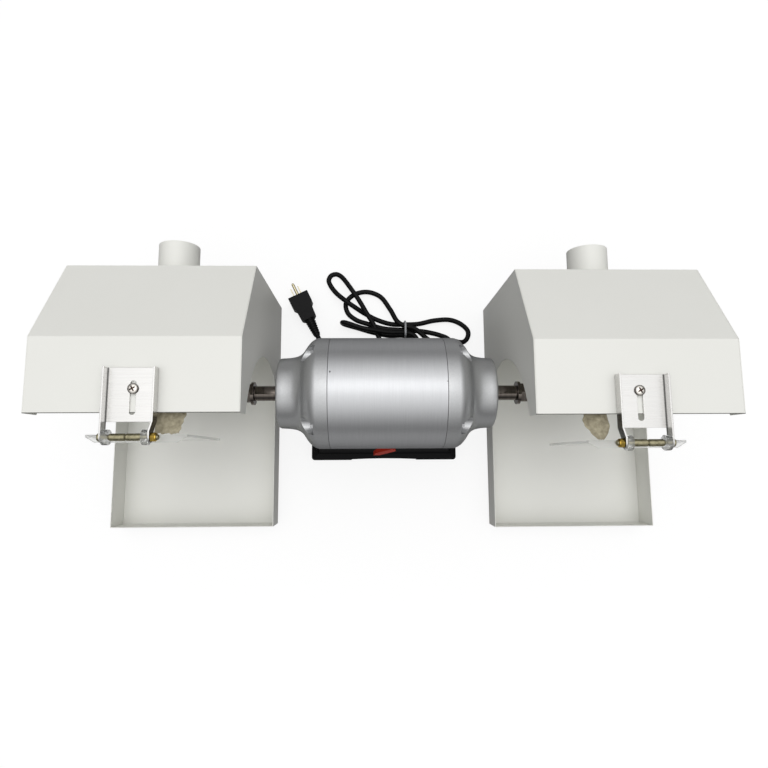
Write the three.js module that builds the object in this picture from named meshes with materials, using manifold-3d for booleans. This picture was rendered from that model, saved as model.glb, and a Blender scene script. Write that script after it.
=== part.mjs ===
// Dental polishing lathe: a twin-spindle bench motor between two folded-steel dust hoods.
// Millimetres, +Z up. X runs along the spindle, the operator stands at -Y.
// The origin is the middle of the footprint, on the bench.
import * as THREE from 'three';
import { mergeVertices } from 'three/addons/utils/BufferGeometryUtils.js';
import Module from 'manifold-3d';

const wasm = await Module();
wasm.setup();

// Clearances shared by all pieces
const seat_gap = 0.3;
const tie_slack = 1.8;
const cut_overrun = 2;
const weld_size = 0.0001;

// Motor
const axis_height = 168;
const barrel_radius = 74;
const barrel_wall = 4;
const seam_x = 74.2;
const nose_end_x = 141.8;
const nose_radius = 46.8;
const nose_edge_round = 3;
const nose_edge_share = 0.3;
const bell_wall = 5;
const bell_spigot = 8;
const bell_face_wall = 4;
const bolt_circle_radius = 63;
const bolt_radius = 2.5;
const bolt_head_across = 8;
const bolt_head_height = 4;
const bolt_pocket_radius = 9.5;
const bolt_seat_x = 92.5;
const stator_length = 90;
const stator_bore_radius = 38.3;
const winding_length = 20;
const winding_wall = 17;
const winding_inset = 4;
const rotor_air_gap = 0.5;
const cage_ring_length = 8;
const cage_ring_inset = 2;

// Shaft, bearings and arbors
const shaft_radius = 10;
const shaft_end_x = 175.2;
const bearing_outer_radius = 23.5;
const bearing_width = 14;
const bearing_chamfer = 1;
const shaft_collar_radius = 13;
const shaft_collar_length = 10;
const arbor_stub_radius = 6;
const arbor_stub_length = 12;
const arbor_flange_radius = 15.5;
const arbor_flange_thick = 4;
const arbor_hex_across = 24;
const arbor_hex_length = 14;
const arbor_hex_turned_share = 1.13;
const arbor_hex_chamfer = 2;
const arbor_neck_radius = 8;
const arbor_neck_length = 6;
const arbor_taper_length = 53;
const arbor_tip_radius = 2.4;

// Base
const base_width = 228;
const base_front_y = -89.7;
const base_rear_y = 52;
const base_corner_radius = 5;
const base_wall = 4;
const foot_height = 8;
const foot_radius = 13;
const foot_toe_radius = 11;
const foot_stem_radius = 4;
const foot_stem_length = 6;
const foot_inset = 19;
const skirt_height = 14;
const fascia_foot_y = -80;
const fascia_foot_z = 26;
const fascia_top_y = -58;
const fascia_top_z = 80;
const shoulder_half_width = 104;
const saddle_half_width = 72;
const saddle_rise = 14;
const rear_wall_top_z = 38;
const saddle_half_depth = 46;
const relief_width = 103;
const relief_side_depth = 1;
const relief_depth = 2.3;
const plate_thick = 1.5;

// Switch
const switch_bush_radius = 7.7;
const switch_body_width = 34;
const switch_body_depth = 22;
const switch_stem_radius = 3;
const switch_stem_length = 16;
const knob_disc_radius = 11;
const knob_disc_thick = 3;
const knob_bar_length = 40;
const knob_bar_width = 10;
const knob_bar_height = 7;
const knob_lean = -1;
const knob_tail_share = 0.7;
const knob_taper_share = 0.6;

// Capacitor in the base
const capacitor_radius = 18;
const capacitor_length = 70;
const capacitor_x = -48;
const capacitor_y = 8;

// Hoods
const hood_inner_x = 169;
const hood_outer_x = 413.5;
const hood_stagger = 1.9;
const hood_front_y = -190.8;
const hood_back_y = 161.1;
const roof_front_y = -35.9;
const crease_y = 52.5;
const roof_height = 280;
const back_height = 209;
const lip_height = 44;
const sheet = 1.2;
const throat_y = -77;
const throat_below_roof = 21;
const throat_below_bench = 1;
const duct_radius = 27.6;
const duct_wall = 1.2;
const duct_height = 150;
const duct_reach = 47;
const duct_root = 4;
const fittings_from_middle = 1.75;

// Visor bracket
const web_length = 61.7;
const web_rear_from_roof_front = 51.4;
const right_bracket_forward = 5.5;
const bracket_width = 58.5;
const bracket_thick = 2;
const flange_rise = 13;
const flange_squeeze = 3.2;
const pin_ahead_of_web = 17.3;
const slot_length = 39;
const slot_width = 7;
const slot_from_front = 7.9;
const clamp_screw_y = -8.6;
const clamp_screw_radius = 2.5;
const clamp_screw_length = 12;
const clamp_head_radius = 6.2;
const clamp_head_height = 3.2;
const clamp_head_rim_share = 0.4;
const clamp_head_dome_share = 0.85;
const clamp_head_crown_share = 0.72;
const clamp_nut_across = 8;
const clamp_nut_height = 4;

// Hinge pin
const pin_radius = 3;
const pin_end_reach = 2.4;
const pin_head_radius = 5;
const pin_head_height = 3.5;
const pin_head_rim_share = 0.5;
const pin_nut_across = 10;
const pin_nut_height = 4.5;
const pin_nut_collar_radius = 4.4;
const pin_nut_collar_length = 1.5;
const spacer_radius = 4.2;

// Visor
const visor_width = 113.4;
const visor_shift = 6.5;
const visor_drop = 141;
const visor_thick = 3;
const visor_below_pin = 7.5;
const visor_behind_pin = 1.7;
const visor_lip = 6.3;
const visor_mitre = 11;
const ear_radius = 8.8;
const ear_thick = 6.5;

// Mains cord
const cord_radius = 4;
const cord_exit_x = 90;
const cord_exit_height = 24;
const gland_flange_radius = 8.5;
const gland_flange_thick = 2.5;
const gland_neck_radius = 6.2;
const gland_reach = 26;
const gland_tip_radius = 5;
const tie_width = 3;
const tie_thick = 0.8;
const tie_x = 36.5;

// Plug
const plug_face_x = -140;
const plug_face_y = 179.5;
const plug_turn = 0.448;
const plug_axis_height = 12.4;
const plug_face_width = 34;
const plug_tail_width = 27;
const plug_body_length = 44;
const plug_body_height = 24;
const plug_edge = 3;
const plug_head_share = 0.42;
const plug_step_share = 0.52;
const plug_tail_share = 0.92;
const relief_root_radius = 8;
const relief_tip_radius = 5.2;
const plug_relief_length = 30;
const blade_spacing = 12.7;
const blade_length = 17;
const blade_width = 6.4;
const blade_thick = 1.5;
const ground_pin_radius = 2.4;
const ground_pin_length = 22;
const ground_pin_rise = 11.9;
const ground_pin_tip_share = 0.7;

// Facet counts
const big_round = 40;
const mid_round = 28;
const small_round = 16;
const throat_steps = 14;
const cord_sides = 8;
const cord_steps = 116;
const test_step_share = 0.125;

// The footprint's middle: the hood's front lip and the end of the duct stub
const footprint_shift = -(hood_front_y + hood_back_y + duct_reach) / 2;

const up = new THREE.Vector3(0, 0, 1);

// Welds the corners, drops triangles with no area and turns the faces outwards
function closed(geometry) {
  const bare = geometry.clone();
  bare.deleteAttribute('normal');
  bare.deleteAttribute('uv');
  const welded = mergeVertices(bare, weld_size);
  const place = welded.attributes.position;
  const old = welded.index.array;
  const kept = [];
  let volume = 0;
  const a = new THREE.Vector3();
  const b = new THREE.Vector3();
  const c = new THREE.Vector3();
  for (let i = 0; i < old.length; i += 3) {
    const [p, q, r] = [old[i], old[i + 1], old[i + 2]];
    if (p === q || q === r || r === p) continue;
    kept.push(p, q, r);
    a.fromBufferAttribute(place, p);
    b.fromBufferAttribute(place, q);
    c.fromBufferAttribute(place, r);
    volume += a.dot(b.cross(c));
  }
  if (volume < 0) {
    for (let i = 0; i < kept.length; i += 3) [kept[i], kept[i + 1]] = [kept[i + 1], kept[i]];
  }
  const result = new THREE.BufferGeometry();
  result.setAttribute('position', new THREE.BufferAttribute(new Float32Array(place.array), 3));
  result.setIndex(kept);
  return result;
}

function solid(geometry) {
  const shut = closed(geometry);
  const vertProperties = new Float32Array(shut.attributes.position.array);
  const triVerts = new Uint32Array(shut.index.array);
  return new wasm.Manifold(new wasm.Mesh({ numProp: 3, vertProperties, triVerts }));
}

function skin(body) {
  const found = body.getMesh();
  const geometry = new THREE.BufferGeometry();
  geometry.setAttribute('position', new THREE.BufferAttribute(new Float32Array(found.vertProperties), 3));
  geometry.setIndex(Array.from(found.triVerts));
  return geometry;
}

// A round form about the X axis, from [along, radius] pairs; the profile closes on the axis or on itself
function turned(profile, steps = mid_round) {
  const points = profile.map(([along, radius]) => new THREE.Vector2(radius, along));
  const first = points[0];
  const last = points[points.length - 1];
  if (first.x > 0 || last.x > 0) points.push(first.clone());
  return new THREE.LatheGeometry(points, steps).rotateZ(-Math.PI / 2);
}

function rod(radius, from, to, steps = small_round) {
  return turned([[from, 0], [from, radius], [to, radius], [to, 0]], steps);
}

function box(width, depth, height, x, y, z) {
  return new THREE.BoxGeometry(width, depth, height).translate(x, y, z);
}

// An outline in Y and Z, drawn out along X
function along_x(points, from, to) {
  const outline = new THREE.Shape(points.map(([y, z]) => new THREE.Vector2(y, z)));
  return extrude_x(outline, from, to);
}

function extrude_x(outline, from, to, steps = small_round / 4) {
  const geometry = new THREE.ExtrudeGeometry(outline, { depth: to - from, bevelEnabled: false, curveSegments: steps });
  // shape x -> Y, shape y -> Z, depth -> X
  const turn = new THREE.Matrix4().makeBasis(
    new THREE.Vector3(0, 1, 0), up.clone(), new THREE.Vector3(1, 0, 0));
  return geometry.applyMatrix4(turn).translate(from, 0, 0);
}

// An outline in X and Z, drawn out along Y
function along_y(points, from, to) {
  const outline = new THREE.Shape(points.map(([x, z]) => new THREE.Vector2(x, z)));
  const geometry = new THREE.ExtrudeGeometry(outline, { depth: to - from, bevelEnabled: false });
  return geometry.rotateX(Math.PI / 2).translate(0, to, 0);
}

// An outline in X and Y, drawn out along Z
function along_z(outline, from, to) {
  const settings = { depth: to - from, bevelEnabled: false, curveSegments: small_round / 4 };
  return new THREE.ExtrudeGeometry(outline, settings).translate(0, 0, from);
}

function hexagon(across, from, to) {
  const corner = across / Math.sqrt(3);
  return new THREE.CylinderGeometry(corner, corner, to - from, 6)
    .rotateZ(-Math.PI / 2).translate((from + to) / 2, 0, 0);
}

function mirrored(geometry) {
  return closed(geometry.clone().scale(-1, 1, 1));
}

const finishes = {
  silver: { color: 0xa9acae, roughness: 0.42, metalness: 0.8 },
  bell: { color: 0xa3a5a7, roughness: 0.5, metalness: 0.75 },
  black: { color: 0x1b1b1c, roughness: 0.55, metalness: 0.1 },
  steel: { color: 0x6a6660, roughness: 0.35, metalness: 1 },
  zinc: { color: 0xb9b9b6, roughness: 0.3, metalness: 1 },
  lamination: { color: 0x55575a, roughness: 0.6, metalness: 0.8 },
  copper: { color: 0xa35a2a, roughness: 0.45, metalness: 0.8 },
  hood: { color: 0xe6e7e2, roughness: 0.6, metalness: 0.05 },
  channel: { color: 0xc9cdd0, roughness: 0.35, metalness: 0.9 },
  yellow_zinc: { color: 0xb79d4c, roughness: 0.35, metalness: 0.9 },
  acrylic: { color: 0xdfe8ea, roughness: 0.08, metalness: 0, transparent: true, opacity: 0.35 },
  rubber: { color: 0x141414, roughness: 0.8, metalness: 0 },
  red: { color: 0xc6321f, roughness: 0.4, metalness: 0 },
  cream: { color: 0xd9d5c6, roughness: 0.5, metalness: 0 },
  cord: { color: 0x121213, roughness: 0.5, metalness: 0 },
  tie: { color: 0x8b8d90, roughness: 0.5, metalness: 0 },
  blade: { color: 0xc4b98c, roughness: 0.3, metalness: 1 },
};

const lathe = new THREE.Group();
lathe.position.y = footprint_shift;

function add(name, geometry, finish, parent = lathe) {
  const piece = new THREE.Mesh(closed(geometry), new THREE.MeshStandardMaterial(finishes[finish]));
  piece.name = name;
  parent.add(piece);
  return piece;
}

// Pedestal: side profile and front profile drawn through each other, then hollowed from below
const saddle_top_z = axis_height - barrel_radius + saddle_rise;
const base_half = base_width / 2;

function pedestal(inset, floor_z, roof_z) {
  const slope = (fascia_top_z - fascia_foot_z) / (fascia_top_y - fascia_foot_y);
  const fascia_reach = (roof_z - fascia_foot_z) / slope;
  const side = [
    [base_front_y + inset, floor_z],
    [base_front_y + inset, foot_height + skirt_height - inset],
    [fascia_foot_y + inset, fascia_foot_z],
    [fascia_foot_y + fascia_reach + inset, roof_z],
    [saddle_half_depth - inset, roof_z],
    [base_rear_y - inset, rear_wall_top_z],
    [base_rear_y - inset, floor_z],
  ];
  const front = [
    [-base_half + inset, floor_z],
    [base_half - inset, floor_z],
    [base_half - inset, foot_height + skirt_height - inset],
    [shoulder_half_width - inset, fascia_foot_z],
    [saddle_half_width - inset, roof_z],
    [-saddle_half_width + inset, roof_z],
    [-shoulder_half_width + inset, fascia_foot_z],
    [-base_half + inset, foot_height + skirt_height - inset],
  ];
  const plan = rounded_plan(inset);
  return solid(along_x(side, -base_half, base_half))
    .intersect(solid(along_y(front, base_front_y, base_rear_y)))
    .intersect(solid(along_z(plan, floor_z - cut_overrun, roof_z + cut_overrun)));
}

function rounded_plan(inset) {
  const [left, right] = [-base_half + inset, base_half - inset];
  const [front, rear] = [base_front_y + inset, base_rear_y - inset];
  const r = base_corner_radius - inset;
  const plan = new THREE.Shape();
  plan.moveTo(left + r, front);
  plan.lineTo(right - r, front);
  plan.absarc(right - r, front + r, r, -Math.PI / 2, 0);
  plan.absarc(right - r, rear - r, r, 0, Math.PI / 2);
  plan.absarc(left + r, rear - r, r, Math.PI / 2, Math.PI);
  plan.absarc(left + r, front + r, r, Math.PI, Math.PI * 1.5);
  return plan;
}

// The switch sits square on the sloping fascia: local +X points out of the fascia
const fascia_angle = Math.atan2(fascia_top_y - fascia_foot_y, fascia_top_z - fascia_foot_z);
const switch_y = (fascia_foot_y + fascia_top_y) / 2;
const switch_z = (fascia_foot_z + fascia_top_z) / 2;

function at_fascia(geometry) {
  const out = new THREE.Vector3(0, -Math.cos(fascia_angle), Math.sin(fascia_angle));
  const side = new THREE.Vector3(1, 0, 0);
  const rise = new THREE.Vector3().crossVectors(out, side);
  return geometry.clone()
    .applyMatrix4(new THREE.Matrix4().makeBasis(out, side, rise))
    .translate(0, switch_y, switch_z);
}

function relief_cut() {
  const half = relief_width / 2;
  const outline = new THREE.Shape();
  outline.moveTo(-half, base_front_y - cut_overrun);
  outline.lineTo(half, base_front_y - cut_overrun);
  outline.lineTo(half, base_front_y + relief_side_depth);
  const bulge = relief_depth * 2 - relief_side_depth;
  outline.quadraticCurveTo(0, base_front_y + bulge, -half, base_front_y + relief_side_depth);
  return along_z(outline, foot_height - cut_overrun, foot_height + skirt_height + cut_overrun);
}

function gland_place(geometry) {
  return geometry.clone().rotateZ(Math.PI / 2).translate(cord_exit_x, base_rear_y, cord_exit_height);
}

function base_casting() {
  const saddle = rod(barrel_radius + seat_gap, -base_half, base_half, big_round).translate(0, 0, axis_height);
  const cavity_top = axis_height - barrel_radius - base_wall - seat_gap;
  const bush_hole = at_fascia(rod(switch_bush_radius + seat_gap, -switch_body_depth, cut_overrun));
  const gland_hole = gland_place(rod(gland_neck_radius + seat_gap, -base_wall - cut_overrun, cut_overrun));
  return skin(pedestal(0, foot_height, saddle_top_z)
    .subtract(solid(saddle))
    .subtract(pedestal(base_wall, foot_height - cut_overrun, cavity_top))
    .subtract(solid(relief_cut()))
    .subtract(solid(bush_hole))
    .subtract(solid(gland_hole)));
}
add('base_casting', base_casting(), 'black');

const foot_places = [];
for (const [end, y] of [['front', base_front_y + foot_inset], ['rear', base_rear_y - foot_inset]]) {
  for (const [side, sign] of [['left', -1], ['right', 1]]) {
    foot_places.push([`foot_${end}_${side}`, sign * (base_half - foot_inset), y]);
  }
}

function bottom_plate() {
  const low = foot_height + seat_gap;
  const plan = rounded_plan(base_wall + seat_gap);
  let plate = solid(along_z(plan, low, low + plate_thick));
  for (const [, x, y] of foot_places) {
    const hole = rod(foot_stem_radius + seat_gap, low - cut_overrun, low + plate_thick + cut_overrun);
    plate = plate.subtract(solid(hole.rotateY(-Math.PI / 2).translate(x, y, 0)));
  }
  return skin(plate);
}
add('base_bottom_plate', bottom_plate(), 'zinc');

for (const [name, x, y] of foot_places) {
  const profile = [
    [0, 0], [0, foot_toe_radius], [foot_height, foot_radius], [foot_height, foot_stem_radius],
    [foot_height + foot_stem_length, foot_stem_radius], [foot_height + foot_stem_length, 0],
  ];
  add(name, turned(profile, small_round).rotateY(-Math.PI / 2).translate(x, y, 0), 'rubber');
}

function switch_body() {
  const back = -base_wall - seat_gap;
  const housing = box(switch_body_depth, switch_body_width, switch_body_width, back - switch_body_depth / 2, 0, 0);
  return at_fascia(skin(solid(housing)
    .add(solid(rod(switch_bush_radius, back - seat_gap, seat_gap)))
    .subtract(solid(rod(switch_stem_radius + seat_gap, -switch_stem_length - seat_gap, cut_overrun)))));
}
add('switch_body', switch_body(), 'cream');

// Pointer knob: a disc with a tapering finger bar, turned a little towards OFF
function switch_knob() {
  const start = seat_gap * 2;
  const half = knob_bar_length / 2;
  const bar = new THREE.Shape();
  bar.moveTo(-half * knob_tail_share, -knob_bar_width / 2);
  bar.lineTo(half * knob_taper_share, -knob_bar_width / 2);
  bar.lineTo(half, 0);
  bar.lineTo(half * knob_taper_share, knob_bar_width / 2);
  bar.lineTo(-half * knob_tail_share, knob_bar_width / 2);
  bar.absarc(-half * knob_tail_share, 0, knob_bar_width / 2, Math.PI / 2, Math.PI * 1.5);
  const settings = { depth: knob_bar_height, bevelEnabled: false, curveSegments: small_round / 2 };
  const finger = new THREE.ExtrudeGeometry(bar, settings)
    .rotateY(Math.PI / 2).rotateX(knob_lean).translate(start + knob_disc_thick - seat_gap, 0, 0);
  return at_fascia(skin(solid(rod(knob_disc_radius, start, start + knob_disc_thick, mid_round))
    .add(solid(finger))
    .add(solid(rod(switch_stem_radius, -switch_stem_length, start + knob_disc_thick)))));
}
add('switch_knob', switch_knob(), 'red');

function capacitor() {
  const low = foot_height + seat_gap * 2 + plate_thick;
  return rod(capacitor_radius, -capacitor_length / 2, capacitor_length / 2, mid_round)
    .translate(capacitor_x, capacitor_y, low + capacitor_radius);
}
add('run_capacitor', capacitor(), 'lamination');

// Motor: all pieces of the motor and rotor hang in one group on the spindle axis
const motor = new THREE.Group();
motor.position.z = axis_height;
lathe.add(motor);

const barrel_half = seam_x - seat_gap;
const barrel_bore = barrel_radius - barrel_wall;
add('motor_barrel', turned([
  [-barrel_half, barrel_bore], [-barrel_half, barrel_radius],
  [barrel_half, barrel_radius], [barrel_half, barrel_bore],
], big_round), 'silver', motor);

// Outside of the bell from the seam to the nose: share of its length, share of the step in radius
const bell_outline_shares = [
  [0, 1], [0.218, 1], [0.286, 0.95], [0.347, 0.856], [0.394, 0.735], [0.437, 0.604], [0.491, 0.4],
  [0.54, 0.25], [0.589, 0.155], [0.644, 0.096], [0.787, 0.024], [0.956, 0],
];
const bell_length = nose_end_x - seam_x;
const bell_step = barrel_radius - nose_radius;

function bell_point([length_share, step_share]) {
  return [seam_x + length_share * bell_length, nose_radius + step_share * bell_step];
}

function bolt_places() {
  const quarter = Math.PI / 2;
  return [0, 1, 2, 3].map((i) => {
    const angle = quarter / 2 + i * quarter;
    return [bolt_circle_radius * Math.cos(angle), bolt_circle_radius * Math.sin(angle)];
  });
}

const bearing_out_x = nose_end_x - bell_face_wall;
const bearing_in_x = bearing_out_x - seat_gap * 2 - bearing_width;

function end_bell() {
  const outside = bell_outline_shares.map(bell_point);
  const spigot_radius = barrel_bore - seat_gap;
  const seat_radius = bearing_outer_radius + seat_gap;
  const inside = outside.slice(1, -2).filter((_, i) => i % 2 === 0)
    .map(([x, radius]) => [x - bell_wall, radius - bell_wall]);
  const nose = [
    [nose_end_x - nose_edge_round * nose_edge_share, nose_radius - nose_edge_round * nose_edge_share],
    [nose_end_x, nose_radius - nose_edge_round],
  ];
  const profile = [
    [seam_x - bell_spigot, spigot_radius], [seam_x, spigot_radius], ...outside, ...nose,
    [nose_end_x, shaft_radius + seat_gap * 4], [bearing_out_x, shaft_radius + seat_gap * 4],
    [bearing_out_x, seat_radius], [bearing_in_x, seat_radius],
    [bearing_in_x, inside[inside.length - 1][1] - bell_wall],
    ...inside.slice().reverse(),
    [seam_x - bell_spigot, barrel_bore - bell_wall],
  ];
  const filled = solid(turned([[seam_x, 0], ...outside, ...nose, [nose_end_x, 0]], big_round));
  let bell = solid(turned(profile, big_round));
  for (const [y, z] of bolt_places()) {
    const boss = rod(bolt_pocket_radius + bell_wall / 2, bolt_seat_x - bell_wall, nose_end_x, small_round / 2);
    bell = bell.add(solid(boss.translate(0, y, z)).intersect(filled));
  }
  for (const [y, z] of bolt_places()) {
    const pocket = rod(bolt_pocket_radius, bolt_seat_x, nose_end_x, small_round);
    const hole = rod(bolt_radius + seat_gap, seam_x - bell_spigot - cut_overrun, nose_end_x, small_round / 2);
    bell = bell.subtract(solid(pocket.translate(0, y, z))).subtract(solid(hole.translate(0, y, z)));
  }
  return skin(bell);
}
const bell = end_bell();
add('right_end_bell', bell, 'bell', motor);
add('left_end_bell', mirrored(bell), 'bell', motor);

bolt_places().forEach(([y, z], i) => {
  const head = bolt_seat_x + seat_gap;
  const shank = solid(rod(bolt_radius, -head - bolt_head_height, head, small_round / 2));
  const caps = [
    hexagon(bolt_head_across, head, head + bolt_head_height),
    hexagon(bolt_head_across, -head - bolt_head_height, -head),
  ];
  const bolt = shank.add(solid(caps[0])).add(solid(caps[1]));
  add(`tie_bolt_${i + 1}`, skin(bolt).translate(0, y, z), 'zinc', motor);
});

function stator_core() {
  const half = stator_length / 2;
  let core = solid(turned([
    [-half, stator_bore_radius], [-half, barrel_bore - seat_gap],
    [half, barrel_bore - seat_gap], [half, stator_bore_radius],
  ], big_round));
  for (const [y, z] of bolt_places()) {
    const hole = rod(bolt_radius + seat_gap, -half - cut_overrun, half + cut_overrun, small_round / 2);
    core = core.subtract(solid(hole.translate(0, y, z)));
  }
  return skin(core);
}
add('stator_core', stator_core(), 'lamination', motor);

// Winding heads: fat rounded rings of wire at both ends of the stator
function winding_head() {
  const start = stator_length / 2 + seat_gap;
  const inner = stator_bore_radius + winding_inset;
  const round = winding_wall / 4;
  return turned([
    [start, inner], [start, inner + winding_wall], [start + winding_length - round, inner + winding_wall],
    [start + winding_length, inner + winding_wall - round], [start + winding_length, inner + round],
    [start + winding_length - round, inner],
  ]);
}
add('right_winding_head', winding_head(), 'copper', motor);
add('left_winding_head', mirrored(winding_head()), 'copper', motor);

function bearing() {
  const from = bearing_in_x + seat_gap;
  const to = from + bearing_width;
  const bore = shaft_radius + seat_gap;
  const c = bearing_chamfer;
  const groove = (bearing_outer_radius - bore) / 3;
  return turned([
    [from, bore], [from, bore + groove], [from + c, bore + groove], [from + c, bearing_outer_radius - groove],
    [from, bearing_outer_radius - groove], [from, bearing_outer_radius - c], [from + c, bearing_outer_radius],
    [to - c, bearing_outer_radius], [to, bearing_outer_radius - c], [to, bearing_outer_radius - groove],
    [to - c, bearing_outer_radius - groove], [to - c, bore + groove], [to, bore + groove], [to, bore],
  ], small_round);
}
add('right_bearing', bearing(), 'zinc', motor);
add('left_bearing', mirrored(bearing()), 'zinc', motor);

// Rotor
function shaft() {
  const collar_out = bearing_in_x;
  const collar_in = collar_out - shaft_collar_length;
  const right = [
    [collar_in, shaft_radius], [collar_in, shaft_collar_radius], [collar_out, shaft_collar_radius],
    [collar_out, shaft_radius], [shaft_end_x, shaft_radius], [shaft_end_x, arbor_stub_radius],
    [shaft_end_x + arbor_stub_length, arbor_stub_radius], [shaft_end_x + arbor_stub_length, 0],
  ];
  const left = right.map(([x, radius]) => [-x, radius]).reverse();
  return turned([...left, ...right], small_round);
}
add('motor_shaft', shaft(), 'steel', motor);

function rotor_core() {
  const half = stator_length / 2;
  const radius = stator_bore_radius - rotor_air_gap;
  const bore = shaft_radius + seat_gap;
  return turned([
    [-half - cage_ring_length, bore], [-half - cage_ring_length, radius - cage_ring_inset],
    [-half, radius - cage_ring_inset], [-half, radius], [half, radius], [half, radius - cage_ring_inset],
    [half + cage_ring_length, radius - cage_ring_inset], [half + cage_ring_length, bore],
  ]);
}
add('rotor_core', rotor_core(), 'lamination', motor);

// Arbor: collar flange, hexagon, neck and long tapered point, bored for the shaft's end
function arbor() {
  const start = shaft_end_x + seat_gap;
  const hex_start = start + arbor_flange_thick;
  const hex_end = hex_start + arbor_hex_length;
  const neck_end = hex_end + arbor_neck_length;
  const tip = neck_end + arbor_taper_length;
  const turned_part = turned([
    [start, 0], [start, arbor_flange_radius], [hex_start, arbor_flange_radius], [hex_start, arbor_neck_radius],
    [neck_end, arbor_neck_radius], [tip - arbor_tip_radius / 2, arbor_tip_radius],
    [tip, arbor_tip_radius / 2], [tip, 0],
  ]);
  const turned_radius = arbor_hex_across / 2 * arbor_hex_turned_share;
  const hex_cap = turned([
    [hex_start, 0], [hex_start, turned_radius], [hex_end - arbor_hex_chamfer, turned_radius],
    [hex_end, arbor_hex_across / 2], [hex_end, 0],
  ], small_round);
  const bore = rod(arbor_stub_radius + seat_gap, start - cut_overrun, start + arbor_stub_length + seat_gap);
  return skin(solid(turned_part)
    .add(solid(hexagon(arbor_hex_across, hex_start - seat_gap, hex_end)).intersect(solid(hex_cap)))
    .subtract(solid(bore)));
}
add('right_arbor', arbor(), 'steel', motor);
add('left_arbor', mirrored(arbor()), 'steel', motor);

// Hood: tray, cowl and two side panels, all of one sheet thickness
const panel_in = hood_inner_x + sheet + seat_gap;
const panel_out = hood_outer_x - sheet - seat_gap;
const hood_middle = (hood_inner_x + hood_outer_x) / 2;
const fittings_x = hood_middle - fittings_from_middle;

// The throat's circle reaches from just below the bench to a strip under the roof
const throat_radius = (roof_height - throat_below_roof + throat_below_bench) / 2;
const throat_z = throat_radius - throat_below_bench;

function hood_tray() {
  const back = hood_back_y - sheet - seat_gap;
  return along_x([
    [hood_front_y, 0], [back, 0], [back, sheet], [hood_front_y + sheet, sheet],
    [hood_front_y + sheet, lip_height], [hood_front_y, lip_height],
  ], panel_in, panel_out);
}

function hood_cowl() {
  // the inner corners of the bends lie on the half-angle lines
  const slope_angle = Math.atan2(roof_height - back_height, hood_back_y - crease_y);
  const low_step = sheet * Math.tan((Math.PI / 2 - slope_angle) / 2);
  const high_step = sheet * Math.tan(slope_angle / 2);
  const cowl = along_x([
    [hood_back_y, 0], [hood_back_y, back_height], [crease_y, roof_height], [roof_front_y, roof_height],
    [roof_front_y, roof_height - sheet], [crease_y - high_step, roof_height - sheet],
    [hood_back_y - sheet, back_height - low_step], [hood_back_y - sheet, 0],
  ], panel_in, panel_out);
  const duct_hole = rod(duct_radius + seat_gap, -sheet - cut_overrun, cut_overrun, mid_round)
    .rotateZ(Math.PI / 2).translate(fittings_x, hood_back_y, duct_height);
  const screw_hole = rod(clamp_screw_radius + seat_gap, roof_height - sheet - cut_overrun,
    roof_height + cut_overrun, small_round).rotateY(-Math.PI / 2).translate(fittings_x, clamp_screw_y, 0);
  return skin(solid(cowl).subtract(solid(duct_hole)).subtract(solid(screw_hole)));
}

// Side panel with the round throat: the arc runs from the roof's front edge down to the tray's side
function hood_side(from) {
  const top_angle = Math.acos((roof_front_y - throat_y) / throat_radius);
  const low_angle = Math.asin((lip_height - throat_z) / throat_radius);
  const outline = new THREE.Shape();
  outline.moveTo(hood_front_y, 0);
  outline.lineTo(hood_back_y, 0);
  outline.lineTo(hood_back_y, back_height);
  outline.lineTo(crease_y, roof_height);
  outline.lineTo(roof_front_y, roof_height);
  outline.absarc(throat_y, throat_z, throat_radius, top_angle, low_angle, true);
  outline.lineTo(hood_front_y, lip_height);
  return extrude_x(outline, from, from + sheet, throat_steps);
}

function hood_duct() {
  return turned([
    [-duct_root, duct_radius - duct_wall], [-duct_root, duct_radius],
    [duct_reach, duct_radius], [duct_reach, duct_radius - duct_wall],
  ]).rotateZ(Math.PI / 2).translate(fittings_x, hood_back_y, duct_height);
}

function clamp_screw() {
  const seat = roof_height + seat_gap * 2 + bracket_thick;
  return turned([
    [seat + clamp_head_height - clamp_screw_length - bracket_thick, 0],
    [seat + clamp_head_height - clamp_screw_length - bracket_thick, clamp_screw_radius],
    [seat, clamp_screw_radius], [seat, clamp_head_radius],
    [seat + clamp_head_height * clamp_head_rim_share, clamp_head_radius],
    [seat + clamp_head_height * clamp_head_dome_share, clamp_head_radius * clamp_head_crown_share],
    [seat + clamp_head_height, 0],
  ], small_round).rotateY(-Math.PI / 2).translate(fittings_x, clamp_screw_y, 0);
}

function clamp_nut() {
  const top = roof_height - sheet - seat_gap;
  const nut = hexagon(clamp_nut_across, top - clamp_nut_height, top);
  const bore = rod(clamp_screw_radius + seat_gap, top - clamp_nut_height - cut_overrun, top + cut_overrun);
  return skin(solid(nut).subtract(solid(bore))).rotateY(-Math.PI / 2).translate(fittings_x, clamp_screw_y, 0);
}

// Bracket: aluminium channel that slides under the clamp screw; its flanges carry the hinge pin
const pin_z = roof_height + seat_gap + flange_rise / 2;

function bracket_places(forward) {
  const rear = roof_front_y + web_rear_from_roof_front - forward;
  const front = rear - web_length;
  return { rear, front, pin_y: front - pin_ahead_of_web };
}

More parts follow.
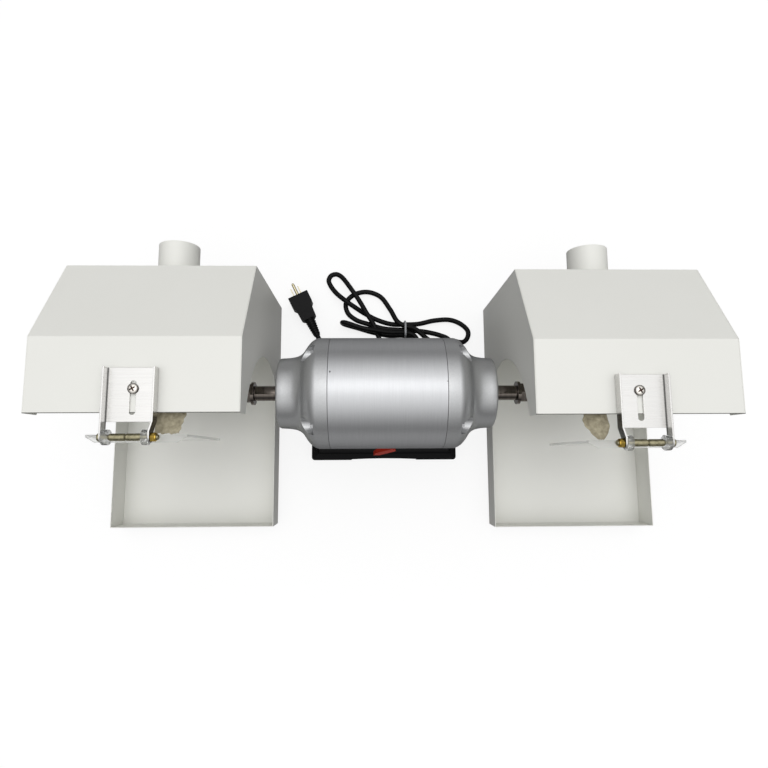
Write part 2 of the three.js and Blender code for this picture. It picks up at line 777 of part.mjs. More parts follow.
function visor_bracket(forward) {
  const { rear, front, pin_y } = bracket_places(forward);
  const low = roof_height + seat_gap;
  const half = bracket_width / 2;
  const web = solid(box(bracket_width, web_length, bracket_thick, hood_middle,
    (rear + front) / 2, low + bracket_thick / 2));
  const side = new THREE.Shape();
  side.moveTo(rear, low);
  side.lineTo(rear, low + flange_rise);
  side.absarc(pin_y, pin_z, flange_rise / 2, Math.PI / 2, Math.PI * 1.5);
  const flange_outer = extrude_x(side, hood_middle + half - bracket_thick, hood_middle + half);
  // the flange on the motor side is drawn in by the pin's nut from the web's front edge on
  const near = hood_middle - half;
  const drawn = near + flange_squeeze;
  const bend_end = pin_y + flange_rise / 2;
  const nose = pin_y - flange_rise;
  const strip = new THREE.Shape([
    [near, rear], [near, front], [drawn, bend_end], [drawn, nose],
    [drawn + bracket_thick, nose], [drawn + bracket_thick, bend_end],
    [near + bracket_thick, front], [near + bracket_thick, rear],
  ].map(([x, y]) => new THREE.Vector2(x, y)));
  const flange_inner = skin(solid(extrude_x(side, near, drawn + bracket_thick))
    .intersect(solid(along_z(strip, low - cut_overrun, low + flange_rise + cut_overrun))));
  const pin_hole = rod(pin_radius + seat_gap, hood_middle - half - cut_overrun, hood_middle + half + cut_overrun)
    .translate(0, pin_y, pin_z);
  const slot = new THREE.Shape();
  const r = slot_width / 2;
  const slot_front = front + slot_from_front + r;
  const slot_rear = front + slot_from_front + slot_length - r;
  slot.absarc(fittings_x, slot_rear, r, 0, Math.PI);
  slot.absarc(fittings_x, slot_front, r, Math.PI, Math.PI * 2);
  return skin(web.add(solid(flange_outer)).add(solid(flange_inner))
    .subtract(solid(pin_hole))
    .subtract(solid(along_z(slot, low - cut_overrun, low + bracket_thick + cut_overrun))));
}

// Hinge pin: domed head on the outer side, lock nut on the motor side
const nut_face = hood_middle - bracket_width / 2 + flange_squeeze - seat_gap;

function hinge_pin(forward) {
  const { pin_y } = bracket_places(forward);
  const head = hood_middle + bracket_width / 2 + seat_gap;
  const end = nut_face - pin_nut_height - pin_nut_collar_length - pin_end_reach;
  return turned([
    [end, 0], [end, pin_radius],
    [head, pin_radius], [head, pin_head_radius], [head + pin_head_height * pin_head_rim_share, pin_head_radius],
    [head + pin_head_height, pin_head_radius / 2], [head + pin_head_height, 0],
  ], small_round).translate(0, pin_y, pin_z);
}

function pin_nut(forward) {
  const { pin_y } = bracket_places(forward);
  const hex_end = nut_face - pin_nut_height;
  const collar_end = hex_end - pin_nut_collar_length;
  const bore = rod(pin_radius + seat_gap, collar_end - cut_overrun, nut_face + cut_overrun);
  return skin(solid(hexagon(pin_nut_across, hex_end, nut_face))
    .add(solid(rod(pin_nut_collar_radius, collar_end, hex_end + seat_gap)))
    .subtract(solid(bore))).translate(0, pin_y, pin_z);
}

const ear_outer = hood_middle + bracket_width / 2 - bracket_thick - seat_gap - ear_thick;
const ear_inner = nut_face + seat_gap * 2 + bracket_thick;
const spacer_length = (ear_outer - ear_inner - ear_thick - seat_gap * 3) / 2;

function spacer(forward, from) {
  const { pin_y } = bracket_places(forward);
  return turned([
    [from, pin_radius + seat_gap], [from, spacer_radius],
    [from + spacer_length, spacer_radius], [from + spacer_length, pin_radius + seat_gap],
  ], small_round).translate(0, pin_y, pin_z);
}

// Visor: clear sheet with a mitred lip along its top, hung on the pin by two ears
function visor(forward) {
  const { pin_y } = bracket_places(forward);
  const top = pin_z - visor_below_pin;
  const half = visor_width / 2;
  const middle = hood_middle - visor_shift;
  const plate_y = pin_y + visor_behind_pin;
  const plate = box(visor_width, visor_thick, visor_drop, middle, plate_y, top - visor_drop / 2);
  const lip = new THREE.Shape();
  const back = plate_y - visor_thick / 2 + seat_gap;
  lip.moveTo(middle - half, back);
  lip.lineTo(middle - half + visor_mitre, back - visor_lip);
  lip.lineTo(middle + half - visor_mitre, back - visor_lip);
  lip.lineTo(middle + half, back);
  let shell = solid(plate).add(solid(along_z(lip, top - visor_thick, top)));
  for (const from of [ear_outer, ear_inner]) {
    const ear = rod(ear_radius, from, from + ear_thick).translate(0, pin_y, pin_z);
    const root = box(ear_thick, ear_radius, visor_below_pin, from + ear_thick / 2, pin_y,
      pin_z - visor_below_pin / 2 - seat_gap);
    const bore = rod(pin_radius + seat_gap, from - cut_overrun, from + ear_thick + cut_overrun)
      .translate(0, pin_y, pin_z);
    shell = shell.add(solid(ear)).add(solid(root)).subtract(solid(bore));
  }
  return skin(shell);
}

// The hoods stand free on the bench, the left one a little further back than the right
for (const [side, forward] of [['left', 0], ['right', right_bracket_forward]]) {
  const hood = new THREE.Group();
  hood.position.y = side === 'left' ? hood_stagger : -hood_stagger;
  lathe.add(hood);
  const place = (geometry) => (side === 'left' ? mirrored(geometry) : geometry);
  add(`${side}_hood_tray`, place(hood_tray()), 'hood', hood);
  add(`${side}_hood_cowl`, place(hood_cowl()), 'hood', hood);
  add(`${side}_hood_inner_side`, place(hood_side(hood_inner_x)), 'hood', hood);
  add(`${side}_hood_outer_side`, place(hood_side(hood_outer_x - sheet)), 'hood', hood);
  add(`${side}_hood_duct`, place(hood_duct()), 'hood', hood);
  add(`${side}_clamp_screw`, place(clamp_screw()), 'zinc', hood);
  add(`${side}_clamp_nut`, place(clamp_nut()), 'zinc', hood);
  add(`${side}_visor_bracket`, place(visor_bracket(forward)), 'channel', hood);
  add(`${side}_hinge_pin`, place(hinge_pin(forward)), 'yellow_zinc', hood);
  add(`${side}_pin_nut`, place(pin_nut(forward)), 'yellow_zinc', hood);
  add(`${side}_inner_spacer`, place(spacer(forward, ear_inner + ear_thick + seat_gap)), 'yellow_zinc', hood);
  add(`${side}_outer_spacer`, place(spacer(forward, ear_outer - seat_gap - spacer_length)), 'yellow_zinc', hood);
  add(`${side}_visor`, place(visor(forward)), 'acrylic', hood);
}

// Cord gland: flange inside and outside the rear wall, then a tapered strain relief
function cord_gland() {
  const inside = -base_wall - seat_gap;
  return gland_place(turned([
    [inside - gland_flange_thick, 0], [inside - gland_flange_thick, gland_flange_radius],
    [inside, gland_flange_radius], [inside, gland_neck_radius], [seat_gap, gland_neck_radius],
    [seat_gap, gland_flange_radius], [seat_gap + gland_flange_thick, gland_flange_radius],
    [seat_gap + gland_flange_thick, gland_neck_radius], [gland_reach, gland_tip_radius], [gland_reach, 0],
  ], small_round));
}
add('cord_gland', cord_gland(), 'rubber');

// The cord lies looped behind the motor: points chosen by hand along its middle line
const cord_start_y = base_rear_y + gland_reach + seat_gap;
const relief_end = plug_body_length + plug_relief_length + seat_gap;
const plug_back = new THREE.Vector2(Math.sin(plug_turn), -Math.cos(plug_turn));

function behind_plug(distance) {
  return [plug_face_x + plug_back.x * distance, plug_face_y + plug_back.y * distance, plug_axis_height];
}

const cord_points = [
  [cord_exit_x, cord_start_y, cord_exit_height], [cord_exit_x, cord_start_y + cord_radius * 2, cord_exit_height],
  [99.5, 98, 21], [112.5, 104, 15], [125.5, 102.5, 9], [134.5, 104, 5.6],
  [141, 112, 4.5], [141.5, 122, 4.5], [131.5, 133, 4.5], [112.5, 141, 4.5], [85.5, 140, 4.5], [58.5, 134, 5.3],
  [36.5, 132.8, 6.7], [13.5, 133.8, 5.2], [-9.5, 141, 4.6], [-29.5, 151.5, 4.5], [-49.5, 163, 11.5], [-61.5, 171, 14],
  [-77.5, 185.5, 10], [-87.5, 200, 4.8], [-90.5, 209, 4.5], [-86.5, 217, 4.5], [-78, 219.5, 4.8], [-69.5, 215, 6],
  [-51.5, 190, 13.3], [-39.5, 172, 13.4], [-27.5, 151, 14], [-15.5, 131, 13.3], [-8.5, 113, 13.4], [-1.5, 96, 13.4],
  [11.5, 81, 12], [35.5, 72, 5.2], [60.5, 71, 8], [79.5, 81, 14], [83.5, 96, 13.8], [69.5, 109.5, 13.6], [51.5, 124, 15],
  [36.5, 128, 15.4], [24, 135.5, 15], [12, 158, 8], [-4.5, 181, 4.5], [-26.5, 189, 4.5], [-48.5, 184, 4.5],
  [-61.5, 170, 4.5], [-58.5, 153, 4.5], [-44.5, 141, 4.5], [-24.5, 134, 4.5], [1.5, 126.2, 4.9],
  [36.5, 123.2, 6.7], [68.5, 121, 4.8], [94.5, 115, 4.5], [108.5, 108.5, 4.5], [114, 97, 4.5], [107.5, 84, 4.5],
  [89.5, 81.5, 4.5], [70.5, 91, 4.6], [53.5, 105.5, 5.4], [36.5, 113.6, 6.7], [8.5, 114.6, 4.9], [-18.5, 120.3, 4.5],
  [-42.5, 127.5, 4.5], [-57.5, 131.7, 4.6], [-64.3, 133.4, 7.2], [-67.1, 134.2, 14], [-64.3, 133, 20.8],
  [-56.5, 130.4, 23.8], [-35.5, 123.5, 22.8], [-14.5, 119.5, 22.5], [10.5, 116.5, 19.8], [36.5, 117, 15.4],
  [49.5, 113.3, 14.8], [56, 103, 14.2], [47.5, 91, 11.5], [26.5, 87, 6], [3.5, 91, 4.5], [-28.5, 92, 4.5], [-60.5, 90, 4.5],
  [-83.5, 89, 5.2],
  [-97.5, 94, 9.5], behind_plug(relief_end + cord_radius * 2), behind_plug(relief_end),
];

const cord_path = new THREE.CatmullRomCurve3(cord_points.map((p) => new THREE.Vector3(...p)), false, 'centripetal');
const cord_length = cord_path.getLength();

function mains_cord() {
  const section = new THREE.Shape();
  section.absarc(0, 0, cord_radius, 0, Math.PI * 2);
  const settings = { steps: cord_steps, extrudePath: cord_path, curveSegments: cord_sides / 2, bevelEnabled: false };
  return new THREE.ExtrudeGeometry(section, settings);
}
add('mains_cord', mains_cord(), 'cord');

// Least gap of the faceted cord to itself, between steps that are apart along it
function cord_least_gap() {
  const places = cord_path.getSpacedPoints(cord_steps);
  const apart = Math.ceil(cord_radius * 8 / (cord_length / cord_steps));
  const line = new THREE.Line3();
  const near = new THREE.Vector3();
  const along = new THREE.Vector3();
  let least = Infinity;
  for (let i = 0; i + 1 < places.length; i += 1) {
    for (let j = i + apart; j + 1 < places.length; j += 1) {
      line.set(places[j], places[j + 1]);
      for (let share = 0; share <= 1; share += test_step_share) {
        along.lerpVectors(places[i], places[i + 1], share);
        line.closestPointToPoint(along, true, near);
        least = Math.min(least, near.distanceTo(along) - cord_radius * 2);
      }
    }
  }
  return least;
}
console.log(`cord length ${cord_length.toFixed(0)} mm, least gap to itself ${cord_least_gap().toFixed(2)} mm`);

// Wire tie round the bundle: its loop follows the strands at tie_x
function cord_tie() {
  const strands = cord_points.filter((p) => p[0] === tie_x);
  const low = strands.filter((p) => p[2] < cord_radius * 2);
  const high = strands.filter((p) => p[2] >= cord_radius * 2);
  const ys = (list) => list.map((p) => p[1]);
  const reach = cord_radius + tie_slack;
  const [y_min, y_max] = [Math.min(...ys(low)), Math.max(...ys(low))];
  const [top_min, top_max] = [Math.min(...ys(high)), Math.max(...ys(high))];
  const low_z = low[0][2];
  const high_z = high[0][2];
  function loop(radius) {
    const outline = new THREE.Shape();
    outline.absarc(y_min, low_z, radius, Math.PI, Math.PI * 1.5);
    outline.absarc(y_max, low_z, radius, -Math.PI / 2, Math.PI / 6);
    outline.absarc(top_max, high_z, radius, Math.PI / 6, Math.PI / 2);
    outline.absarc(top_min, high_z, radius, Math.PI / 2, Math.PI * 5 / 6);
    return outline;
  }
  const band = loop(reach + tie_thick);
  const outer = solid(extrude_x(band, tie_x - tie_width / 2, tie_x + tie_width / 2));
  const inner = solid(extrude_x(loop(reach), tie_x - tie_width, tie_x + tie_width));
  return skin(outer.subtract(inner));
}
add('cord_twist_tie', cord_tie(), 'tie');

// Plug: lies on the bench, blades low and the round ground pin above them
const plug = new THREE.Group();
plug.position.set(plug_face_x, plug_face_y, plug_axis_height);
plug.rotation.z = plug_turn;
lathe.add(plug);

// In the plug's own frame +Y points out of its face
const blade_z = -ground_pin_rise / 2;
const pin_rise_z = ground_pin_rise / 2;

function plug_body() {
  const half = plug_face_width / 2;
  const tail = plug_tail_width / 2;
  const outline = new THREE.Shape();
  outline.moveTo(-half, 0);
  outline.lineTo(-half, -plug_body_length * plug_head_share);
  outline.lineTo(-tail, -plug_body_length * plug_step_share);
  outline.lineTo(-tail * plug_tail_share, -plug_body_length + plug_edge);
  outline.lineTo(-tail * plug_tail_share + plug_edge, -plug_body_length);
  outline.lineTo(tail * plug_tail_share - plug_edge, -plug_body_length);
  outline.lineTo(tail * plug_tail_share, -plug_body_length + plug_edge);
  outline.lineTo(tail, -plug_body_length * plug_step_share);
  outline.lineTo(half, -plug_body_length * plug_head_share);
  outline.lineTo(half, 0);
  const block = along_z(outline, -plug_body_height / 2, plug_body_height / 2);
  const side = [
    [0, -plug_body_height / 2], [0, plug_body_height / 2],
    [-plug_body_length * plug_head_share, plug_body_height / 2],
    [-plug_body_length, plug_body_height / 2 - plug_edge], [-plug_body_length, -plug_body_height / 2 + plug_edge],
    [-plug_body_length * plug_head_share, -plug_body_height / 2],
  ];
  const relief = turned([
    [-plug_body_length - plug_relief_length, 0], [-plug_body_length - plug_relief_length, relief_tip_radius],
    [-plug_body_length + seat_gap, relief_root_radius], [-plug_body_length + seat_gap, 0],
  ], small_round).rotateZ(Math.PI / 2);
  return skin(solid(block).intersect(solid(along_x(side, -half, half))).add(solid(relief)));
}
add('plug_body', plug_body(), 'cord', plug);
for (const [side, sign] of [['left', -1], ['right', 1]]) {
  add(`plug_${side}_blade`, box(blade_thick, blade_length, blade_width, sign * blade_spacing / 2,
    seat_gap + blade_length / 2, blade_z), 'blade', plug);
}
add('plug_ground_pin', turned([
  [seat_gap, 0], [seat_gap, ground_pin_radius], [ground_pin_length - ground_pin_radius, ground_pin_radius],
  [ground_pin_length - ground_pin_radius / 3, ground_pin_radius * ground_pin_tip_share], [ground_pin_length, 0],
], small_round).rotateZ(Math.PI / 2).translate(0, 0, pin_rise_z), 'blade', plug);

export default lathe;
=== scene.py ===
# %% [markdown]
# # A dental polishing lathe
# Two white dust hoods stand at the ends of a silver twin-spindle motor, seen from above.
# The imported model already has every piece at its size, so this lesson only dresses it:
# round edges, fine round forms, threads, a free cord, and finishes that look like the real ones.

# %% Load the frame
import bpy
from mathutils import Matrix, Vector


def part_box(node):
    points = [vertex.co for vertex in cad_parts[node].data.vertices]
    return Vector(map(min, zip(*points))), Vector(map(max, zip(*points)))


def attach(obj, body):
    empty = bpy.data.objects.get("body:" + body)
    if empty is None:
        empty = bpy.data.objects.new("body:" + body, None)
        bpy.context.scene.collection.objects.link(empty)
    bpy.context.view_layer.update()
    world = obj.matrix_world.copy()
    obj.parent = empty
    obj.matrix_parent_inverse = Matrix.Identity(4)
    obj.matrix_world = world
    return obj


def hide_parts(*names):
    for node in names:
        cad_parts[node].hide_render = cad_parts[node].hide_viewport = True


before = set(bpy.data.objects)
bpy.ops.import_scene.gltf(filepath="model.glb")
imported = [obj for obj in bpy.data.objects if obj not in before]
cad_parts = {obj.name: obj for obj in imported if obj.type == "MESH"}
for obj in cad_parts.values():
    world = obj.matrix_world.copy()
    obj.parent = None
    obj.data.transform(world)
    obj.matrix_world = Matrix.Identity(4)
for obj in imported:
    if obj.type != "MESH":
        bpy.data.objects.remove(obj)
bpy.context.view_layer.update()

import math
import bpy
from mathutils import Vector

scene = bpy.context.scene
mm = 0.001

# %% [markdown]
# ## Places
# All sizes below are in millimetres from the spindle's middle, with the bench at zero height.
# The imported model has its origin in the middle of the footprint, 8.65 mm further back,
# so one function turns a place into metres there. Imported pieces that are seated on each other
# keep a gap of 0.3 mm. The right hood stands a little further forward than the left one.

# %% Places in millimetres
footprint_shift = -8.65
side_sign = {"left": -1, "right": 1}
axis_height = 168
hood_middle = 291.25
hood_stagger = {"left": 1.9, "right": -1.9}
roof_front = -35.9
roof_height = 280
seat_gap = 0.3


def at(x, y, z):
    return Vector((x, y + footprint_shift, z)) * mm


print("spindle's middle, m:", [round(v, 4) for v in at(0, 0, axis_height)])

# %% [markdown]
# ## The camera
# The picture is taken from almost straight above. Its lens and place were worked out from the
# hoods' straight edges, so the camera is set by numbers instead of by eye.
# The ZXY order turns it about its own view first and tilts it last.

# %% Camera
camera_spot = (-21.74, -84.56, 920)
camera_angles = (7.35, -1.43, -0.34)
camera_data = bpy.data.cameras.new("camera_above")
camera_data.sensor_width = 36
camera_data.lens = 26.36
camera_data.clip_start = 0.05
camera_data.clip_end = 60
camera = bpy.data.objects.new("camera_above", camera_data)
scene.collection.objects.link(camera)
camera.location = at(*camera_spot)
camera.rotation_mode = "ZXY"
camera.rotation_euler = [math.radians(angle) for angle in camera_angles]
scene.camera = camera
print("camera, m:", [round(v, 4) for v in camera.location])

# %% [markdown]
# ## Colours and nodes
# Colours are written as the sRGB hex values that a picture editor shows. The shader works in
# linear light, so one function converts them. A second small function adds a node together
# with its settings and links, which keeps each finish readable from top to bottom. A node that
# is handed to it as an input stands for its first output. A pattern's size is given in
# millimetres, and a third function turns it into the repeats per metre that nodes ask for.

# %% Colour and node helpers


def linear(code):
    shares = [int(code[i:i + 2], 16) / 255 for i in (1, 3, 5)]
    curve = [s / 12.92 if s <= 0.04045 else ((s + 0.055) / 1.055) ** 2.4 for s in shares]
    return (*curve, 1.0)


def repeats(*sizes):
    return [1 / (size * mm) for size in sizes]


def add_node(material, kind, inputs=None, **settings):
    made = material.node_tree.nodes.new(kind)
    for name, value in settings.items():
        setattr(made, name, value)
    for name, value in (inputs or {}).items():
        if isinstance(value, bpy.types.Node):
            value = value.outputs[0]
        if isinstance(value, bpy.types.NodeSocket):
            material.node_tree.links.new(value, made.inputs[name])
        else:
            made.inputs[name].default_value = value
    return made


def new_finish(name, hex_colour, metallic, roughness):
    material = bpy.data.materials.new(name)
    material.use_nodes = True
    shader = material.node_tree.nodes["Principled BSDF"]
    shader.inputs["Base Color"].default_value = linear(hex_colour)
    shader.inputs["Metallic"].default_value = metallic
    shader.inputs["Roughness"].default_value = roughness
    print("finish:", name)
    return material, shader


print("middle grey in linear light:", round(linear("#808080")[0], 3))

# %% [markdown]
# ## Powder coat
# The hoods are folded steel sheet with a baked off-white powder coat. Powder melts into a skin
# with a fine orange-peel grain of about 1.5 mm, half gloss, and very even in colour.
# A noise of that size drives the bump, and a second, larger one shifts the tone a little.

# %% Powder coat
grain_size = 1.5 * mm
cloud_size = 111 * mm
powder_coat, shader = new_finish("powder_coat_off_white", "#EFEEE9", 0.0, 0.42)
place = add_node(powder_coat, "ShaderNodeTexCoord")
grain = add_node(powder_coat, "ShaderNodeTexNoise",
                 {"Vector": place.outputs["Object"], "Scale": 1 / grain_size, "Detail": 2.0})
clouds = add_node(powder_coat, "ShaderNodeTexNoise",
                  {"Vector": place.outputs["Object"], "Scale": 1 / cloud_size, "Detail": 3.0})
tone = add_node(powder_coat, "ShaderNodeMix", {0: clouds.outputs["Fac"], 6: linear("#EDEDE7"),
                                               7: linear("#F1F1EC")}, data_type="RGBA")
peel = add_node(powder_coat, "ShaderNodeBump", {"Height": grain.outputs["Fac"], "Strength": 0.16,
                                                "Distance": 0.1 * mm})
powder_coat.node_tree.links.new(peel.outputs["Normal"], shader.inputs["Normal"])

# %% [markdown]
# ## Painted shade along the roof's front edge
# A thin dark line of painted shade runs along the front edge of each roof sheet, where the
# shadow under that edge falls. The two roofs end at slightly different depths, so the sign of X
# shifts the line.

# %% Painted shade along the roof's front edge
roof_line = roof_front + footprint_shift
edge_reach = 0.9
edge_depth = 2
spot = add_node(powder_coat, "ShaderNodeSeparateXYZ", {0: place.outputs["Object"]})
which_hood = add_node(powder_coat, "ShaderNodeMath", {0: spot.outputs["X"]}, operation="SIGN")
front_line = add_node(powder_coat, "ShaderNodeMath",
                      {0: which_hood, 1: hood_stagger["right"] * mm, 2: roof_line * mm},
                      operation="MULTIPLY_ADD")
behind_line = add_node(powder_coat, "ShaderNodeMath", {0: spot.outputs["Y"], 1: front_line},
                       operation="SUBTRACT")
from_line = add_node(powder_coat, "ShaderNodeMath", {0: behind_line}, operation="ABSOLUTE")
near_line = add_node(powder_coat, "ShaderNodeMath", {0: from_line, 1: edge_reach * mm},
                     operation="LESS_THAN")
on_roof = add_node(powder_coat, "ShaderNodeMath",
                   {0: spot.outputs["Z"], 1: (roof_height - edge_depth) * mm},
                   operation="GREATER_THAN")
painted_edge_shade = add_node(powder_coat, "ShaderNodeMath", {0: near_line, 1: on_roof},
                     operation="MULTIPLY")
# Painted shade: the coat turns dark grey in a thin line along each roof's front edge.
edge_shaded_tone = add_node(powder_coat, "ShaderNodeMix", {0: painted_edge_shade, 6: tone.outputs[2],
                                                7: linear("#5E5E59")}, data_type="RGBA")
powder_coat.node_tree.links.new(edge_shaded_tone.outputs[2], shader.inputs["Base Color"])
print("the roofs' edges, mm:", [round(roof_line + shift, 2) for shift in hood_stagger.values()])

# %% [markdown]
# ## Silver lacquer
# The motor's tube carries a sprayed silver lacquer: small metal flakes in clear resin, so it is
# part metal, with a broad soft highlight. Real flakes are finer than 0.1 mm, and are drawn as
# coarse as 0.7 mm so that they show. Fine streaks run round the tube, as the spray gun passed
# along it. At a grazing angle the resin swallows most of the flakes' light, which the dark
# specular tint stands for.

# %% Silver lacquer
flake_size = 0.7 * mm
edge_tint = linear("#8A8A8B")
silver_lacquer, shader = new_finish("silver_lacquer", "#BFC0C2", 0.8, 0.35)
shader.inputs["Specular Tint"].default_value = edge_tint
place = add_node(silver_lacquer, "ShaderNodeTexCoord")
flakes = add_node(silver_lacquer, "ShaderNodeTexNoise",
                  {"Vector": place.outputs["Object"], "Scale": 1 / flake_size, "Detail": 3.0})
stretch = add_node(silver_lacquer, "ShaderNodeMapping",
                   {"Vector": place.outputs["Object"], "Scale": repeats(1.11, 33.3, 33.3)})
streaks = add_node(silver_lacquer, "ShaderNodeTexNoise",
                   {"Vector": stretch, "Scale": 1.0, "Detail": 3.0})
blend = add_node(silver_lacquer, "ShaderNodeMath", {0: flakes, 1: streaks},
                 operation="MULTIPLY")
tone = add_node(silver_lacquer, "ShaderNodeMapRange",
                {"Value": blend, "From Min": 0.12, "From Max": 0.4})
silver = add_node(silver_lacquer, "ShaderNodeMix", {0: tone, 6: linear("#BBBCBE"),
                                                    7: linear("#C3C4C6")}, data_type="RGBA")
skin = add_node(silver_lacquer, "ShaderNodeBump",
                {"Height": flakes, "Strength": 0.05, "Distance": 0.04 * mm})
silver_lacquer.node_tree.links.new(skin.outputs["Normal"], shader.inputs["Normal"])

# %% [markdown]
# ## Nicks along the seams
# The lacquer is chipped in a few places where the tube meets the bells. A coarse noise is cut
# off so high that only scattered dots are left, and they count only close to the two seams.

# %% Nicks along the seams
nick_spacing = 6.67 * mm
seam_zone = (66 * mm, 71 * mm)
dots = add_node(silver_lacquer, "ShaderNodeTexNoise",
                {"Vector": place.outputs["Object"], "Scale": 1 / nick_spacing, "Detail": 1.0})
nick = add_node(silver_lacquer, "ShaderNodeMapRange",
                {"Value": dots, "From Min": 0.74, "From Max": 0.77})
spot = add_node(silver_lacquer, "ShaderNodeSeparateXYZ", {0: place.outputs["Object"]})
outwards = add_node(silver_lacquer, "ShaderNodeMath", {0: spot.outputs["X"]},
                    operation="ABSOLUTE")
at_seam = add_node(silver_lacquer, "ShaderNodeMapRange",
                   {"Value": outwards, "From Min": seam_zone[0], "From Max": seam_zone[1]})
seam_nick = add_node(silver_lacquer, "ShaderNodeMath", {0: nick, 1: at_seam},
                     operation="MULTIPLY")
worn = add_node(silver_lacquer, "ShaderNodeMix", {0: seam_nick, 6: silver.outputs[2],
                                                  7: linear("#5A5A5C")}, data_type="RGBA")
silver_lacquer.node_tree.links.new(worn.outputs[2], shader.inputs["Base Color"])
print("nodes in the silver lacquer:", len(silver_lacquer.node_tree.nodes))

# %% [markdown]
# ## Cast silver
# The end bells have the same silver paint over a sand-cast skin, which is a little rougher.
# One noise of the sand's grain, drawn at 2.2 mm so that it shows, sets both tone and bump.

# %% Cast silver
cast_grain = 2.2 * mm
cast_silver, shader = new_finish("silver_on_sand_casting", "#BDBEBF", 0.8, 0.36)
shader.inputs["Specular Tint"].default_value = edge_tint
place = add_node(cast_silver, "ShaderNodeTexCoord")
pits = add_node(cast_silver, "ShaderNodeTexNoise",
                {"Vector": place.outputs["Object"], "Scale": 1 / cast_grain, "Detail": 4.0})
tone = add_node(cast_silver, "ShaderNodeMix", {0: pits, 6: linear("#B1B2B3"),
                                               7: linear("#C3C4C5")}, data_type="RGBA")
skin = add_node(cast_silver, "ShaderNodeBump",
                {"Height": pits, "Strength": 0.2, "Distance": 0.1 * mm})
cast_silver.node_tree.links.new(tone.outputs[2], shader.inputs["Base Color"])
cast_silver.node_tree.links.new(skin.outputs["Normal"], shader.inputs["Normal"])

# %% [markdown]
# ## Black enamel, rubber and vinyl
# The pedestal is cast iron under stove enamel: deep black, nearly matt, slightly wavy.
# Feet and gland are moulded rubber, dull with a fine grain. The lead's vinyl jacket is
# smoother and catches a thin highlight. They differ mainly in roughness and bump. Each row
# ends with the size and the height of its waves in millimetres.

# %% Black finishes
black_finishes = {}
for name, hex_colour, roughness, size, height in (
        ("black_stove_enamel", "#0A0A0B", 0.45, 2.5, 0.08),
        ("moulded_rubber", "#161616", 0.72, 0.8, 0.08),
        ("vinyl_jacket", "#101011", 0.42, 3.0, 0.05)):
    black, shader = new_finish(name, hex_colour, 0.0, roughness)
    shader.inputs["Specular IOR Level"].default_value = 0.12
    place = add_node(black, "ShaderNodeTexCoord")
    wave = add_node(black, "ShaderNodeTexNoise",
                    {"Vector": place.outputs["Object"], "Scale": 1 / (size * mm), "Detail": 3.0})
    dull = add_node(black, "ShaderNodeMapRange",
                    {"Value": wave, "To Min": roughness - 0.06, "To Max": roughness + 0.1})
    skin = add_node(black, "ShaderNodeBump",
                    {"Height": wave, "Strength": 0.2, "Distance": height * mm})
    black.node_tree.links.new(dull.outputs[0], shader.inputs["Roughness"])
    black.node_tree.links.new(skin.outputs["Normal"], shader.inputs["Normal"])
    black_finishes[name] = black

# %% [markdown]
# ## Bare and plated metals
# Ground steel, browned steel, zinc, mill aluminium and nickel brass are all full metals, and so
# are the laminations and windings inside the motor. What tells them apart is the colour, how
# dull they are, and which way the fine scratches run: round the spindle for turned pieces, and
# across the bracket for the rolled channel. Each row gives the scratches' spacing along X, Y
# and Z and then their depth, in millimetres. Real ones are finer and wouldn't show.

# %% Metals
metals = {}
for name, dark, light, roughness, spacing, depth in (
        ("ground_steel", "#4E4843", "#7A736D", 0.12, (2.5, 50, 50), 0.004),
        ("zinc_plate", "#8F9092", "#C9CACB", 0.24, (2, 2, 2), 0.04),
        ("bright_zinc", "#D2D3D5", "#F3F4F5", 0.14, (3.33, 3.33, 3.33), 0.02),
        # browned_steel's pale colours are the painted highlight on the screw heads' tops; the brown is
        # mixed in lower down.
        ("browned_steel", "#D8D2CA", "#F2EEE8", 0.2, (3.85, 3.85, 3.85), 0.03),
        ("yellow_zinc", "#6E521A", "#EBC964", 0.17, (2, 11.1, 11.1), 0.04),
        ("dulled_yellow_zinc", "#4F4A36", "#C4BD9C", 0.26, (4.55, 3.33, 3.33), 0.04),
        ("mill_aluminium", "#CBCAC8", "#E3E2E0", 0.27, (62.5, 1.25, 1.25), 0.03),
        ("nickel_brass", "#B9AE86", "#E3DBBE", 0.22, (3.33, 3.33, 3.33), 0.03),
        ("electrical_steel", "#3C3D40", "#5E6063", 0.45, (0.5, 33.3, 33.3), 0.1),
        ("enamelled_copper", "#7A3B1B", "#B5652F", 0.35, (1.11, 1.11, 1.11), 0.3)):
    metal, shader = new_finish(name, light, 1.0, roughness)
    place = add_node(metal, "ShaderNodeTexCoord")
    stretch = add_node(metal, "ShaderNodeMapping",
                       {"Vector": place.outputs["Object"], "Scale": repeats(*spacing)})
    lines = add_node(metal, "ShaderNodeTexNoise",
                     {"Vector": stretch, "Scale": 1.0, "Detail": 4.0})
    tone = add_node(metal, "ShaderNodeMix", {0: lines, 6: linear(dark), 7: linear(light)},
                    data_type="RGBA")
    dull = add_node(metal, "ShaderNodeMapRange",
                    {"Value": lines, "To Min": roughness - 0.08, "To Max": roughness + 0.12})
    skin = add_node(metal, "ShaderNodeBump",
                    {"Height": lines, "Strength": 0.15, "Distance": depth * mm})
    metal.node_tree.links.new(tone.outputs[2], shader.inputs["Base Color"])
    metal.node_tree.links.new(dull.outputs[0], shader.inputs["Roughness"])
    metal.node_tree.links.new(skin.outputs["Normal"], shader.inputs["Normal"])
    metals[name] = metal
